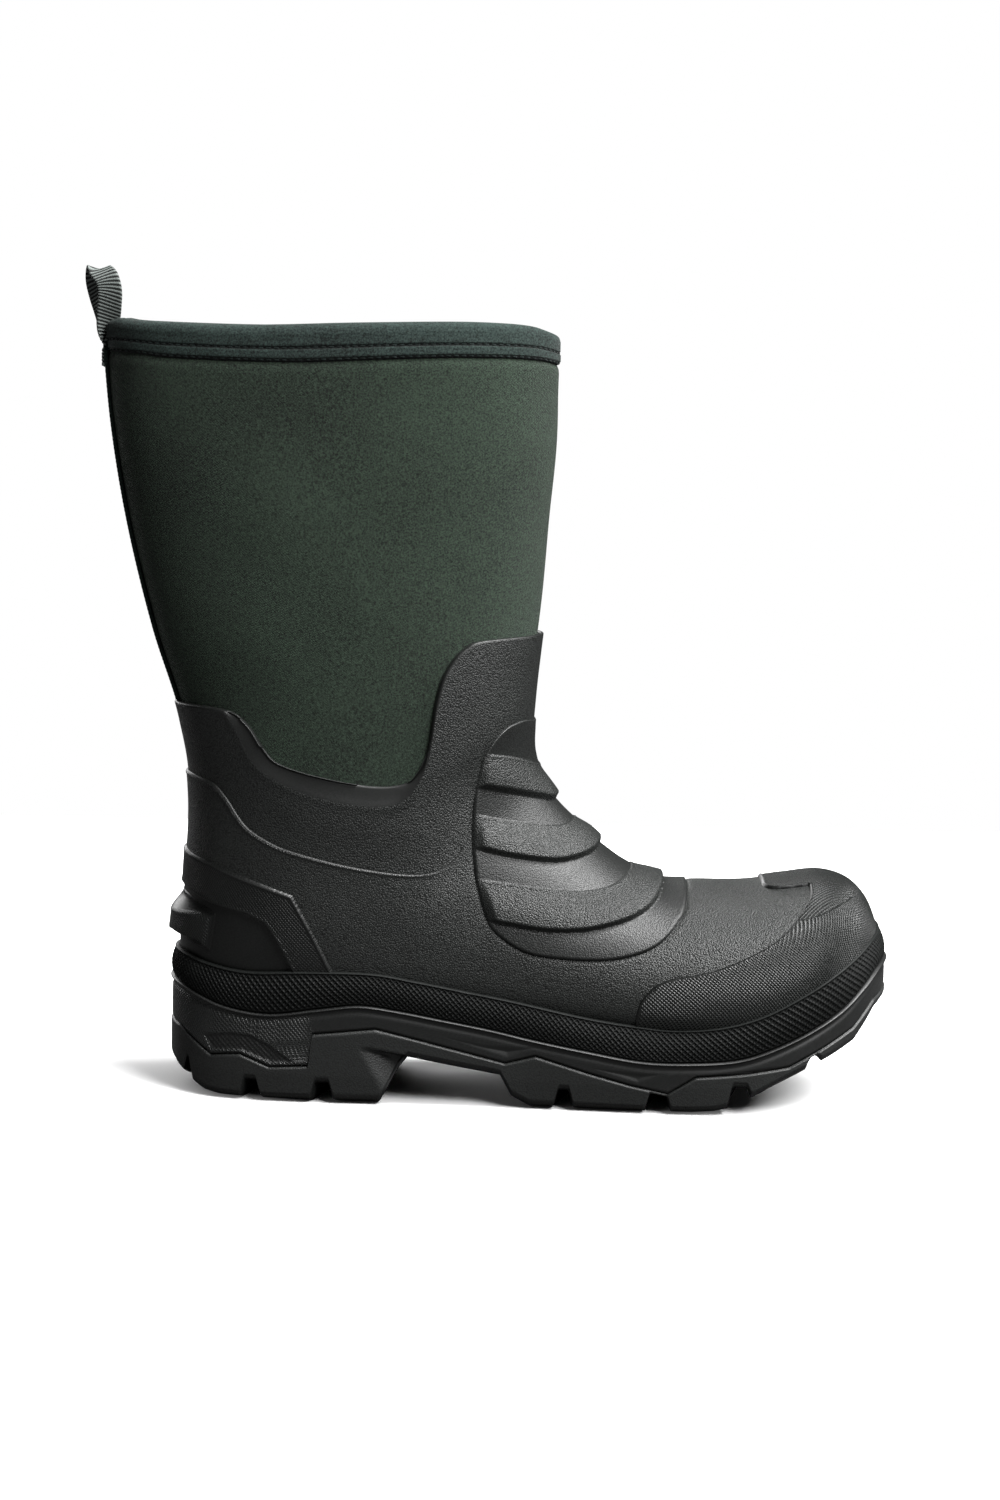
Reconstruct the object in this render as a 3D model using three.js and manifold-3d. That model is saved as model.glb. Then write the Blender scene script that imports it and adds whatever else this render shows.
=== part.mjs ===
// Right-foot insulated hunting boot: a neoprene leg and bootie inside a layered rubber shell,
// on a lugged outsole. Millimetres, +Z up, +X toward the toe, -Y on the outer side of the foot.
// The origin is the middle of the boot's footprint, on the ground.
import * as THREE from 'three';
import { mergeVertices } from 'three/addons/utils/BufferGeometryUtils.js';
import Module from 'manifold-3d';

const wasm = await Module();
wasm.setup();

// ---------------------------------------------------------------- driving dimensions
const GAP = 0.35;              // clearance between neighbouring pieces
const SHELL = [0.35, 1.85];    // every layer is [inner, outer] distance from the bootie's outer face
const OVERLAY = [2.2, 3.0];
const TRIM = [3.35, 4.4];
const GUARD_PLATE = [3.35, 4.2];
const GUARD_RIB = 5.6;
const NEOPRENE = [-4.0, 0];
const STIFFENER = [-5.2, -4.4];
const INSULATION = [-7.6, -5.6];
const LINING = [-9.1, -8.0];
const SHAFT_LINING = [-5.6, -4.4];
const BINDING = [0.4, 1.6];
const INSIDE_FOOT = -9.5;      // clear space inside the lining
const ROUND_STEPS = 16;        // sides of every section
const FAR = 400;               // longer than the boot in any direction

// Key sections of the bootie's outer face, from the toe tip up to the top of the leg. Each lies in
// a plane that holds the Y direction and runs in side view from the sole or heel to the instep or shin.
//  front [x, z]   sole/back [x, z]  outer  inner  ridge  widest  upper  lower power
const SECTIONS = [
  [[170.5, 63.0], [170.5, 55.0], 2.0, 18.0, 8, 0.50, 2.0, 2.0],
  [[169.0, 72.0], [169.0, 48.0], 12.0, 26.0, 8, 0.42, 2.1, 2.2],
  [[165.0, 82.5], [165.0, 43.0], 23.5, 34.0, 8, 0.38, 2.2, 2.4],
  [[157.5, 90.0], [157.5, 38.0], 34.5, 41.5, 8, 0.35, 2.3, 2.6],
  [[146.0, 93.2], [146.0, 33.0], 44.5, 46.5, 7, 0.33, 2.3, 2.8],
  [[131.0, 91.6], [131.0, 29.5], 49.5, 48.5, 6, 0.32, 2.2, 3.0],
  [[114.0, 89.6], [114.0, 28.0], 51.5, 49.0, 5, 0.31, 2.1, 3.0],
  [[96.0, 89.6], [94.0, 27.5], 51.5, 48.0, 4, 0.30, 2.0, 3.0],
  [[76.0, 90.5], [66.0, 28.5], 49.0, 44.5, 3, 0.30, 2.0, 3.0],
  [[57.0, 99.0], [32.0, 30.5], 46.0, 40.0, 2, 0.31, 2.0, 3.0],
  [[41.0, 112.5], [-8.0, 32.5], 43.5, 37.5, 1, 0.34, 2.0, 3.0],
  [[29.5, 123.5], [-48.0, 33.5], 42.5, 37.5, 0, 0.38, 2.0, 3.2],
  [[21.5, 135.5], [-88.0, 34.5], 42.0, 38.0, 0, 0.43, 2.0, 3.2],
  [[17.5, 147.0], [-119.0, 39.0], 42.0, 39.0, 0, 0.47, 2.1, 2.8],
  [[17.0, 158.0], [-132.5, 60.0], 42.0, 40.0, 0, 0.50, 2.1, 2.4],
  [[17.5, 169.0], [-131.0, 92.0], 42.0, 40.5, 0, 0.50, 2.2, 2.3],
  [[18.3, 181.0], [-129.5, 128.0], 42.0, 41.0, 0, 0.50, 2.2, 2.2],
  [[19.5, 194.0], [-134.0, 163.0], 42.0, 41.5, 0, 0.50, 2.2, 2.2],
  [[21.5, 214.0], [-146.5, 202.0], 42.0, 42.0, 0, 0.50, 2.2, 2.2],
  [[24.5, 250.0], [-157.5, 246.0], 42.0, 42.0, 0, 0.50, 2.2, 2.2],
  [[27.3, 290.0], [-165.0, 290.0], 42.0, 42.0, 0, 0.50, 2.2, 2.2],
  [[28.0, 333.0], [-169.0, 333.0], 42.0, 42.0, 0, 0.50, 2.2, 2.2],
];
const TOP = SECTIONS.length - 1;
const LEG_START = 14;          // section where the leg tube meets the bootie, inside the shell
const TOE_STATIONS = 5;        // sections before this one also shrink lengthwise

// Outlines in side view, [x, z].
const COLLAR_LINE = [
  [-160, 174], [-134, 173], [-119, 170], [-108, 167], [-103, 161], [-97, 152], [-90, 146], [-71, 141],
  [-50, 138], [-37, 139], [-31, 143], [-26, 154], [-23, 174], [-19, 187], [-11, 197], [3, 201],
  [40, 202], [200, 202],
];
const ANKLE_LINE = [
  [-160, 141], [-134, 139.5], [-118, 135.5], [-107, 122.5], [-93, 112.5], [-83, 109], [-57, 103], [-31, 100],
  [-17, 104], [-8, 116], [4, 134], [60, 150], [200, 150],
];
const GUARD_OUTLINE = [
  [40, 161], [21, 163], [14, 164.5], [3, 157], [-3, 144], [-6, 125], [-5, 102], [-3, 92], [1, 80], [7, 73.5],
  [17, 68], [29, 65.5], [49, 65], [63, 67], [74, 71.5], [82, 79], [87, 88], [88, 110], [60, 140],
];
const GUARD_RIBS = [
  [[-8, 151], [10, 148.5], [25, 141], [60, 130], [50, 128], [29, 128.5], [12, 133], [-8, 138]],
  [[-8, 126], [8, 122], [24, 119], [33, 118], [60, 130], [80, 120], [50, 109.5], [43, 106], [20, 105.5],
    [6, 108], [-8, 112]],
  [[-8, 99], [9, 96], [24, 94], [40, 92.5], [58, 95], [90, 112], [90, 98], [73, 87], [65, 82], [53, 78.5],
    [40, 76.5], [25, 77], [11, 79], [-8, 83]],
];
const TOE_CAP_OUTLINE = [
  [65, 20], [65, 42], [71, 53], [78, 57], [99, 62], [120, 72], [130, 78], [139, 88], [139, 92.5],
  [126, 93], [122, 110], [200, 110], [200, 20],
];
const COUNTER_OUTLINE = [
  [-160, 107], [-133, 105.5], [-118, 101], [-97, 94.5], [-83, 90], [-75, 75], [-65, 56], [-65, 40], [-84, 40],
  [-81, 54], [-85.5, 62.5], [-95, 78], [-103, 81.5], [-118, 84.5], [-129, 88.5], [-134, 91], [-160, 92],
];
const KICK_OUTLINE = [
  [-150, 84], [-138, 86], [-124, 82], [-117, 79.5], [-119, 63], [-128, 65.5], [-137, 69], [-150, 74],
];

// Sole lines in side view, [x, z]: top of the rand, bottom of the rand, and the joint above the outsole.
const RAND_TOP = [
  [-150, 62], [-134, 61], [-121, 58], [-103, 56], [-81, 57], [-50, 57], [-30, 54], [-8, 50], [14, 46], [44, 40],
  [67, 37], [83, 36], [102, 38], [119, 43], [136, 51], [153, 60], [165, 66], [185, 69],
];
const RAND_BOTTOM = [
  [-150, 49], [-136, 48], [-125, 44], [-112, 40], [-93, 38], [-71, 41], [-54, 43], [-37, 41], [-20, 38], [2, 34],
  [21, 30], [44, 26], [68, 22.5], [90, 22.5], [108, 24], [122, 28], [138, 35], [154, 44], [165, 53], [174, 60],
  [185, 62],
];
const OUTSOLE_TOP = [
  [-150, 26], [-134, 25], [-119, 18], [-106, 20], [-93, 15], [-76, 16], [-74, 30], [-47, 32], [-32, 29], [9, 19.5],
  [22, 22], [45, 16], [63, 12], [79, 9], [91, 13], [112, 15], [131, 20], [145, 28], [160, 36], [170, 45], [185, 50],
];
const OUTSOLE_BOTTOM = [
  [-150, 20], [-137, 18], [-125, 8], [-117, 2.5], [-108, 0], [-45, 0], [-42, 5], [-37, 15], [-33, 21], [-11, 17],
  [7, 14], [12, 4], [20, 0], [104, 0], [116, 4], [131, 10], [148, 20], [160, 28], [170, 40], [185, 45],
];
// The midsole's core sits in a well of the outsole, this far in from its wall and down to this line.
const WELL_WALL = 6;
const WELL_FLOOR = [
  [-150, 15], [-47, 15], [-38, 24.5], [-20, 23.5], [7, 20], [20, 13], [100, 11.5], [125, 14], [140, 20],
  [150, 27], [160, 35], [185, 52],
];
// Cuts across the tread, [x, width, height], and lengthwise channels, [x start, x end, y].
const LUG_CUTS = [
  [-129, 6, 14], [-98, 11, 7], [-68, 10, 7], [44, 10, 6], [70, 12, 7], [98, 10, 8], [122, 7, 12],
];
const TREAD_CHANNELS = [[-118, -50, 0], [18, 126, 0]];
const CHANNEL = { width: 9, depth: 6 };

// Footprint of the sole, [x, y], clockwise from the back of the heel along the outer side.
const FOOTPRINT = [
  [-139, 0], [-134, -22], [-120, -36], [-98, -43.5], [-65, -47], [-28, -48.5], [10, -50], [45, -54], [75, -57.5],
  [100, -58.5], [122, -57], [143, -51.5], [158, -42], [168, -29.5], [175, -12], [177.5, 8], [175, 26], [168, 39.5],
  [158, 48.5], [142, 54.5], [118, 57], [92, 56], [65, 51.5], [35, 47.5], [5, 45.5], [-30, 44.5], [-65, 44],
  [-98, 41.5], [-120, 34], [-134, 21],
];
const MIDSOLE_INSET = 0.3;     // how far each piece's wall is set in from the outsole's
const RAND_INSET = 1.2;
const RAND_REACH = 13;         // where the rand ends under the overlay, in from the outsole's wall
const ABOVE_SOLE = 90;         // higher than any piece of the sole

// The pull loop: a teardrop ring of webbing in the YZ plane, cut to its silhouette in side view.
const LOOP_OUTER = [[-3.2, 323.2], [-5.5, 330], [-9, 341], [-9.5, 350], [-6, 356.5], [0, 358.5]];
const LOOP_INNER = [[-0.6, 327], [-3.6, 332], [-7.3, 341.5], [-7.7, 349.5], [-5, 354.5], [0, 356.6]];
const LOOP_PROFILE = [
  [-171.9, 323], [-173.8, 323], [-173.8, 331], [-177, 343], [-179.5, 352], [-178.5, 358.5], [-170, 358.5],
  [-163, 351], [-163, 342], [-166, 335.6], [-171.9, 335.6],
];
const LEG_TOP = 332.6;         // raw upper edge of the neoprene and its lining
const BINDING_FOOT = 319;      // lower edge of the top binding, outside and inside
const BINDING_TOP = 334.2;
const TAPE_HALF_WIDTH = 6;
const TAPE_ENDS = [174.4, 318.5];
const BACK_TAPE = [0.4, 1.9];
const INNER_TAPE = [-7.0, -6.0];
const KICK = { x: -112, reach: 29.5, halfWidth: 33 };    // ellipse in plan that bounds the kick-off wedge
const TOE_PUFF_BACK = [[118, 0], [126, 120]];            // the puff's rear edge
const HEEL_STIFFENER_OUTLINE = [[-160, 30], [-60, 30], [-72, 60], [-100, 98], [-160, 104]];
const BOARD_THICKNESS = 8;     // reaches below the lining's lowest point, which trims it
const LOOP_BAND = [-190, -150];                          // x range that the loop's ring is cut from
const TAB = [[-173.6, -5.5, 309], [-171.9, 5.5, 321.5]]; // corners of the patch over the loop's ends
const INSOLE_LINE = [
  [-150, 48], [-120, 47.4], [-88, 46.6], [-48, 45.6], [-8, 44.6], [32, 42.8], [66, 40.8], [94, 39.8], [114, 40.2],
  [131, 41.8], [146, 45.2], [157, 50], [200, 64],
];
const FOOTBED_THICKNESS = 5;
const COVER_THICKNESS = 1.2;
const SHANK = { line: [[-95, 29.5], [-60, 29.5], [-10, 28.2], [30, 26]], thickness: 1.8, halfWidth: 9 };

// ---------------------------------------------------------------- solids and joins
function solid(geometry) {
  geometry.deleteAttribute('normal');
  geometry.deleteAttribute('uv');
  const welded = mergeVertices(geometry, 1e-5);
  const mesh = new wasm.Mesh({
    numProp: 3,
    vertProperties: new Float32Array(welded.attributes.position.array),
    triVerts: new Uint32Array(welded.index.array),
  });
  return new wasm.Manifold(mesh);
}

function geometryOf(manifold) {
  const mesh = manifold.getMesh();
  const geometry = new THREE.BufferGeometry();
  geometry.setAttribute('position', new THREE.BufferAttribute(mesh.vertProperties, 3));
  geometry.setIndex(new THREE.BufferAttribute(mesh.triVerts, 1));
  return geometry;
}

// ---------------------------------------------------------------- the boot's own surface
// A point of one key section, `offset` outside the bootie's outer face.
function sectionPoint(row, step, offset) {
  const [front, back, outer, inner, ridge, widest, upper, lower] = SECTIONS[row];
  const along = new THREE.Vector2(front[0] - back[0], front[1] - back[1]);
  const length = along.length();
  along.normalize();
  const turn = (step / ROUND_STEPS) * 2 * Math.PI;
  const rise = Math.cos(turn);
  const sweep = Math.sin(turn);
  const power = 2 / (rise >= 0 ? upper : lower);
  const reach = rise >= 0 ? (1 - widest) * length + offset : widest * length + offset;
  const climb = widest * length + Math.sign(rise) * reach * Math.abs(rise) ** power;
  const spread = Math.abs(sweep) ** power;
  const side = sweep >= 0 ? -(outer + ridge + offset) : inner - ridge + offset;
  const toeShift = offset * Math.max(0, 1 - row / TOE_STATIONS);
  return new THREE.Vector3(
    back[0] + along.x * climb + toeShift,
    ridge + side * spread,
    back[1] + along.y * climb,
  );
}

function ringOf(row, offset) {
  return Array.from({ length: ROUND_STEPS }, (_, step) => sectionPoint(row, step, offset));
}

// A closed body from a run of rings. It closes on itself, or ends in flat caps. The bands from ring
// `turnsBack` on run the other way along the boot, so they take the other diagonal: faces that
// lie on each other in neighbouring layers then fold along the same lines.
function bodyFromRings(rings, closesOnItself, turnsBack = rings.length) {
  const positions = rings.flat().flatMap((point) => point.toArray());
  const index = [];
  const count = ROUND_STEPS;
  const bands = closesOnItself ? rings.length : rings.length - 1;
  for (let band = 0; band < bands; band += 1) {
    const here = band * count;
    const next = ((band + 1) % rings.length) * count;
    for (let step = 0; step < count; step += 1) {
      const after = (step + 1) % count;
      const [a, b, c, d] = [here + step, next + step, next + after, here + after];
      if (band < turnsBack) {
        index.push(a, b, c, a, c, d);
      } else {
        index.push(a, b, d, b, c, d);
      }
    }
  }
  if (!closesOnItself) {
    const last = (rings.length - 1) * count;
    for (let step = 1; step < count - 1; step += 1) {
      index.push(0, step, step + 1);
      index.push(last, last + step + 1, last + step);
    }
  }
  const geometry = new THREE.BufferGeometry();
  geometry.setAttribute('position', new THREE.Float32BufferAttribute(positions, 3));
  geometry.setIndex(index);
  return solid(geometry);
}

function rowsBetween(first, last) {
  return Array.from({ length: last - first + 1 }, (_, step) => first + step);
}

// The filled foot and leg, out to `offset`.
function lastSolid(offset, first = 0, last = TOP) {
  return bodyFromRings(rowsBetween(first, last).map((row) => ringOf(row, offset)), false);
}

// A cup-shaped layer that wraps the toe and stays open at section `last`.
function cupLayer([inner, outer], last) {
  const rows = rowsBetween(0, last);
  const outside = rows.map((row) => ringOf(row, outer));
  const inside = rows.map((row) => ringOf(row, inner)).reverse();
  return bodyFromRings([...outside, ...inside], false, rows.length);
}

// A tube-shaped layer around the leg, open at both ends.
function tubeLayer([inner, outer], first, last) {
  const rows = rowsBetween(first, last);
  const outside = rows.map((row) => ringOf(row, outer));
  const inside = rows.map((row) => ringOf(row, inner)).reverse();
  return bodyFromRings([...outside, ...inside], true, rows.length);
}

// ---------------------------------------------------------------- cutting shapes
function shapeOf(outline) {
  return new THREE.Shape(outline.map(([x, y]) => new THREE.Vector2(x, y)));
}

// A prism along Y whose outline is given in side view.
function sidePrism(outline, halfWidth = FAR) {
  const geometry = new THREE.ExtrudeGeometry(shapeOf(outline), { depth: 2 * halfWidth, bevelEnabled: false });
  geometry.rotateX(Math.PI / 2);
  geometry.translate(0, halfWidth, 0);
  return solid(geometry);
}

// Everything between two side-view lines.
function bandPrism(lowLine, highLine) {
  return sidePrism([...lowLine, ...[...highLine].reverse()]);
}

function below(line, floor = -FAR) {
  return sidePrism([[line[0][0], floor], [line.at(-1)[0], floor], ...[...line].reverse()]);
}

// A vertical prism on the sole's footprint, moved in by `inset`.
function footprintPrism(inset, low, high) {
  const points = FOOTPRINT.map(([x, y]) => new THREE.Vector3(x, y, 0));
  const smooth = new THREE.CatmullRomCurve3(points, true).getPoints(2 * FOOTPRINT.length).slice(0, -1);
  const outline = smooth.map((point, index) => {
    const before = smooth.at(index - 1);
    const after = smooth[(index + 1) % smooth.length];
    const inward = new THREE.Vector2(before.y - after.y, after.x - before.x).normalize();
    return [point.x + inward.x * inset, point.y + inward.y * inset];
  });
  const geometry = new THREE.ExtrudeGeometry(shapeOf(outline), { depth: high - low, bevelEnabled: false });
  geometry.translate(0, 0, low);
  return solid(geometry);
}

function boxSolid([x0, y0, z0], [x1, y1, z1]) {
  const geometry = new THREE.BoxGeometry(x1 - x0, y1 - y0, z1 - z0);
  geometry.translate((x0 + x1) / 2, (y0 + y1) / 2, (z0 + z1) / 2);
  return solid(geometry);
}

// Only the main piece of a cut, without the slivers that a cut can leave at an edge.
function mainPiece(manifold) {
  return manifold.decompose().reduce((best, piece) => (piece.volume() > best.volume() ? piece : best));
}

// ---------------------------------------------------------------- sole
function lifted(line, rise) {
  return line.map(([x, z]) => [x, z + rise]);
}

function makeOutsole() {
  const well = footprintPrism(WELL_WALL, -1, ABOVE_SOLE).subtract(below(WELL_FLOOR));
  let sole = footprintPrism(0, -1, ABOVE_SOLE)
    .intersect(bandPrism(OUTSOLE_BOTTOM, lifted(OUTSOLE_TOP, -GAP)))
    .subtract(well)
    .subtract(lastSolid(OVERLAY[1] + GAP));
  for (const [x, width, height] of LUG_CUTS) {
    sole = sole.subtract(boxSolid([x - width / 2, -FAR, -1], [x + width / 2, FAR, height]));
  }
  for (const [start, end, y] of TREAD_CHANNELS) {
    const half = CHANNEL.width / 2;
    sole = sole.subtract(boxSolid([start, y - half, -1], [end, y + half, CHANNEL.depth]));
  }
  return mainPiece(sole);
}

// The arch stiffener, or with `clearance` the pocket it lies in.
function shankPrism(clearance) {
  const last = SHANK.line.length - 1;
  const stretch = (index) => (index === 0 ? -clearance : index === last ? clearance : 0);
  const low = SHANK.line.map(([x, z], index) => [x + stretch(index), z - SHANK.thickness - clearance]);
  const high = SHANK.line.map(([x, z], index) => [x + stretch(index), z + 8 * clearance]).reverse();
  return sidePrism([...low, ...high], SHANK.halfWidth + clearance);
}

function makeMidsole() {
  const core = footprintPrism(WELL_WALL + GAP, -1, ABOVE_SOLE).subtract(below(lifted(WELL_FLOOR, GAP)));
  const block = footprintPrism(MIDSOLE_INSET, -1, ABOVE_SOLE)
    .subtract(below(OUTSOLE_TOP))
    .add(core)
    .intersect(below(RAND_BOTTOM))
    .subtract(lastSolid(OVERLAY[1] + GAP))
    .subtract(shankPrism(GAP));
  return mainPiece(block);
}

function makeRand() {
  const ring = footprintPrism(RAND_INSET, -1, ABOVE_SOLE)
    .intersect(bandPrism(lifted(RAND_BOTTOM, GAP), RAND_TOP))
    .subtract(lastSolid(OVERLAY[1] + GAP))
    .subtract(footprintPrism(RAND_REACH, -2, ABOVE_SOLE + 1));
  return mainPiece(ring);
}

// ---------------------------------------------------------------- rubber upper
function makeShell() {
  return mainPiece(cupLayer(SHELL, 19).intersect(below(COLLAR_LINE)));
}

function makeFootOverlay() {
  return mainPiece(cupLayer(OVERLAY, 17).intersect(below(ANKLE_LINE)));
}

function makeGuard() {
  const outline = sidePrism(GUARD_OUTLINE);
  const ribLayer = cupLayer([GUARD_PLATE[0], GUARD_RIB], 17).intersect(outline);
  const ribs = GUARD_RIBS.map((rib) => ribLayer.intersect(sidePrism(rib)));
  const plate = cupLayer(GUARD_PLATE, 17).intersect(outline);
  return mainPiece(ribs.reduce((guard, rib) => guard.add(rib), plate));
}

// Trim that stays above the rand.
function trimPiece(layer, outline, lastRow) {
  const aboveRand = sidePrism([...lifted(RAND_TOP, GAP), [185, FAR], [-150, FAR]]);
  return mainPiece(cupLayer(layer, lastRow).intersect(sidePrism(outline)).intersect(aboveRand));
}

function makeKick() {
  const wedge = new THREE.CylinderGeometry(1, 1, ABOVE_SOLE, 2 * ROUND_STEPS);
  wedge.rotateX(Math.PI / 2);
  wedge.scale(KICK.reach, KICK.halfWidth, 1);
  wedge.translate(KICK.x, 0, ABOVE_SOLE);
  return mainPiece(solid(wedge).intersect(sidePrism(KICK_OUTLINE)).subtract(lastSolid(OVERLAY[1] + GAP)));
}

function makeCounter() {
  const clearance = sidePrism([...lifted(KICK_OUTLINE.slice(0, 4), GAP), ...KICK_OUTLINE.slice(4)]);
  return mainPiece(trimPiece(TRIM, COUNTER_OUTLINE, 17).subtract(clearance));
}

// ---------------------------------------------------------------- bootie, insulation and linings
// The thin cut that parts the bootie from the leg tube along their sewn seam.
function seamCut() {
  const [front, back] = SECTIONS[LEG_START];
  const run = new THREE.Vector2(front[0] - back[0], front[1] - back[1]).normalize();
  const [dx, dz] = [run.x * 40, run.y * 40];
  return sidePrism([
    [back[0] - dx, back[1] - dz - GAP], [front[0] + dx, front[1] + dz - GAP],
    [front[0] + dx, front[1] + dz], [back[0] - dx, back[1] - dz],
  ]);
}

function bootLayer(layer) {
  return mainPiece(cupLayer(layer, LEG_START).subtract(seamCut()));
}

function legLayer(layer) {
  return tubeLayer(layer, LEG_START, TOP).intersect(boxSolid([-FAR, -FAR, 0], [FAR, FAR, LEG_TOP]));
}

function makeToePuff() {
  const [foot, head] = TOE_PUFF_BACK;
  return mainPiece(cupLayer(STIFFENER, 7).intersect(sidePrism([foot, head, [FAR, head[1]], [FAR, foot[1]]])));
}

function makeHeelStiffener() {
  return mainPiece(cupLayer(STIFFENER, 15).intersect(sidePrism(HEEL_STIFFENER_OUTLINE)).subtract(seamCut()));
}

// A slice of the foot space between two heights above the insole line.
function footSlice(low, high) {
  const slice = bandPrism(lifted(INSOLE_LINE, low), lifted(INSOLE_LINE, high));
  return mainPiece(lastSolid(INSIDE_FOOT, 0, LEG_START).intersect(slice));
}

// ---------------------------------------------------------------- leg trim
// A ring of the straight top part of the leg at height z.
function legRing(z, offset) {
  const lower = SECTIONS[TOP - 1][0][1];
  const upper = SECTIONS[TOP][0][1];
  const share = (z - lower) / (upper - lower);
  const lowRing = ringOf(TOP - 1, offset);
  const highRing = ringOf(TOP, offset);
  return lowRing.map((point, step) => point.lerp(highRing[step], share));
}

function makeBinding() {
  const [inner, outer] = BINDING;
  const insideFace = SHAFT_LINING[0] - inner;
  const capInside = insideFace - (outer - inner);
  return bodyFromRings([
    legRing(BINDING_FOOT, outer), legRing(BINDING_TOP, outer), legRing(BINDING_TOP, capInside),
    legRing(BINDING_FOOT, capInside), legRing(BINDING_FOOT, insideFace),
    legRing(LEG_TOP + GAP, insideFace), legRing(LEG_TOP + GAP, inner), legRing(BINDING_FOOT, inner),
  ], true);
}

function tape(layer) {
  const strip = boxSolid([-FAR, -TAPE_HALF_WIDTH, TAPE_ENDS[0]], [-100, TAPE_HALF_WIDTH, TAPE_ENDS[1]]);
  return mainPiece(tubeLayer(layer, 16, TOP).intersect(strip));
}

function makeLoop() {
  const bothSides = (line) => [...line, ...line.slice(0, -1).reverse().map(([y, z]) => [-y, z])];
  const shape = shapeOf(bothSides(LOOP_OUTER).reverse());
  shape.holes.push(shapeOf(bothSides(LOOP_INNER)));
  const ring = new THREE.ExtrudeGeometry(shape, { depth: LOOP_BAND[1] - LOOP_BAND[0], bevelEnabled: false });
  ring.rotateX(Math.PI / 2);
  ring.rotateZ(Math.PI / 2);
  ring.translate(LOOP_BAND[0], 0, 0);
  return mainPiece(solid(ring).intersect(sidePrism(LOOP_PROFILE)));
}


// ---------------------------------------------------------------- the boot
const rubber = { color: 0x2a2d2b, roughness: 0.55, metalness: 0 };
const gripRubber = { color: 0x222423, roughness: 0.7, metalness: 0 };
const neoprene = { color: 0x39443b, roughness: 0.9, metalness: 0 };
const binding = { color: 0x374441, roughness: 0.85, metalness: 0 };
const fleece = { color: 0x3b3d3a, roughness: 1, metalness: 0 };
const wadding = { color: 0xb9b6ac, roughness: 1, metalness: 0 };
const fibreboard = { color: 0x8c7a5e, roughness: 0.9, metalness: 0 };
const foam = { color: 0x4a4d4b, roughness: 0.95, metalness: 0 };
const steel = { color: 0x8f9498, roughness: 0.35, metalness: 1 };
const webbing = { color: 0x1d2421, roughness: 0.85, metalness: 0 };

const pieces = [
  ['outsole', makeOutsole, gripRubber],
  ['midsole', makeMidsole, gripRubber],
  ['rand', makeRand, gripRubber],
  ['rubber_shell', makeShell, rubber],
  ['foot_overlay', makeFootOverlay, rubber],
  ['instep_guard', makeGuard, rubber],
  ['toe_cap', () => trimPiece(TRIM, TOE_CAP_OUTLINE, 10), rubber],
  ['heel_counter', makeCounter, rubber],
  ['heel_kick', makeKick, gripRubber],
  ['shank', () => shankPrism(0), steel],
  ['neoprene_bootie', () => bootLayer(NEOPRENE), neoprene],
  ['toe_puff', makeToePuff, fibreboard],
  ['heel_stiffener', makeHeelStiffener, fibreboard],
  ['insulation', () => bootLayer(INSULATION), wadding],
  ['foot_lining', () => bootLayer(LINING), fleece],
  ['insole_board', () => footSlice(-BOARD_THICKNESS, 0), fibreboard],
  ['footbed', () => footSlice(GAP, GAP + FOOTBED_THICKNESS), foam],
  ['footbed_cover', () => footSlice(2 * GAP + FOOTBED_THICKNESS, 2 * GAP + FOOTBED_THICKNESS + COVER_THICKNESS), fleece],
  ['neoprene_leg', () => legLayer(NEOPRENE), neoprene],
  ['leg_lining', () => legLayer(SHAFT_LINING), fleece],
  ['top_binding', makeBinding, binding],
  ['back_tape', () => tape(BACK_TAPE), webbing],
  ['inner_seam_tape', () => tape(INNER_TAPE), webbing],
  ['loop_tab', () => boxSolid(...TAB), webbing],
  ['pull_loop', makeLoop, webbing],
];

const boot = new THREE.Group();
for (const [name, make, finish] of pieces) {
  const mesh = new THREE.Mesh(geometryOf(make()), new THREE.MeshStandardMaterial(finish));
  mesh.name = name;
  boot.add(mesh);
}

export default boot;
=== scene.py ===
"""Insulated hunting boot, right foot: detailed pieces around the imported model, in its own frame."""
import math

import bpy
import numpy as np
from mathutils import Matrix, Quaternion, Vector


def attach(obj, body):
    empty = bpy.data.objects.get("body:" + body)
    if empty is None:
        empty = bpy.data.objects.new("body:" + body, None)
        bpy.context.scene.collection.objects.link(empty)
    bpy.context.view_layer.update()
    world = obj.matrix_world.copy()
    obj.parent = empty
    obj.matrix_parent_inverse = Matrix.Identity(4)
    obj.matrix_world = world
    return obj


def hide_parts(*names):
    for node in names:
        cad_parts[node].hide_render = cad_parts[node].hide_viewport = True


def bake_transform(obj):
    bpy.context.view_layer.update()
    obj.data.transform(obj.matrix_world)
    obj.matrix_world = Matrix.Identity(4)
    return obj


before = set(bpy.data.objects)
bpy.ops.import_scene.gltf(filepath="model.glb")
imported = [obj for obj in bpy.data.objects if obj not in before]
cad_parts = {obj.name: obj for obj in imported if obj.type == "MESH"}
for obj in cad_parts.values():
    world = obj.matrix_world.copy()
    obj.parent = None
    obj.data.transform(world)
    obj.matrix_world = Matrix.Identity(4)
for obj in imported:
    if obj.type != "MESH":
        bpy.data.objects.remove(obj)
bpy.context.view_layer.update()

# ================================================================ driving dimensions
# Everything below is in millimetres with +X to the toe and -Y to the outer side; meshes are in metres.
MM = 0.001
SEED = 7
MIDDLE_Y = 4.0

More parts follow.
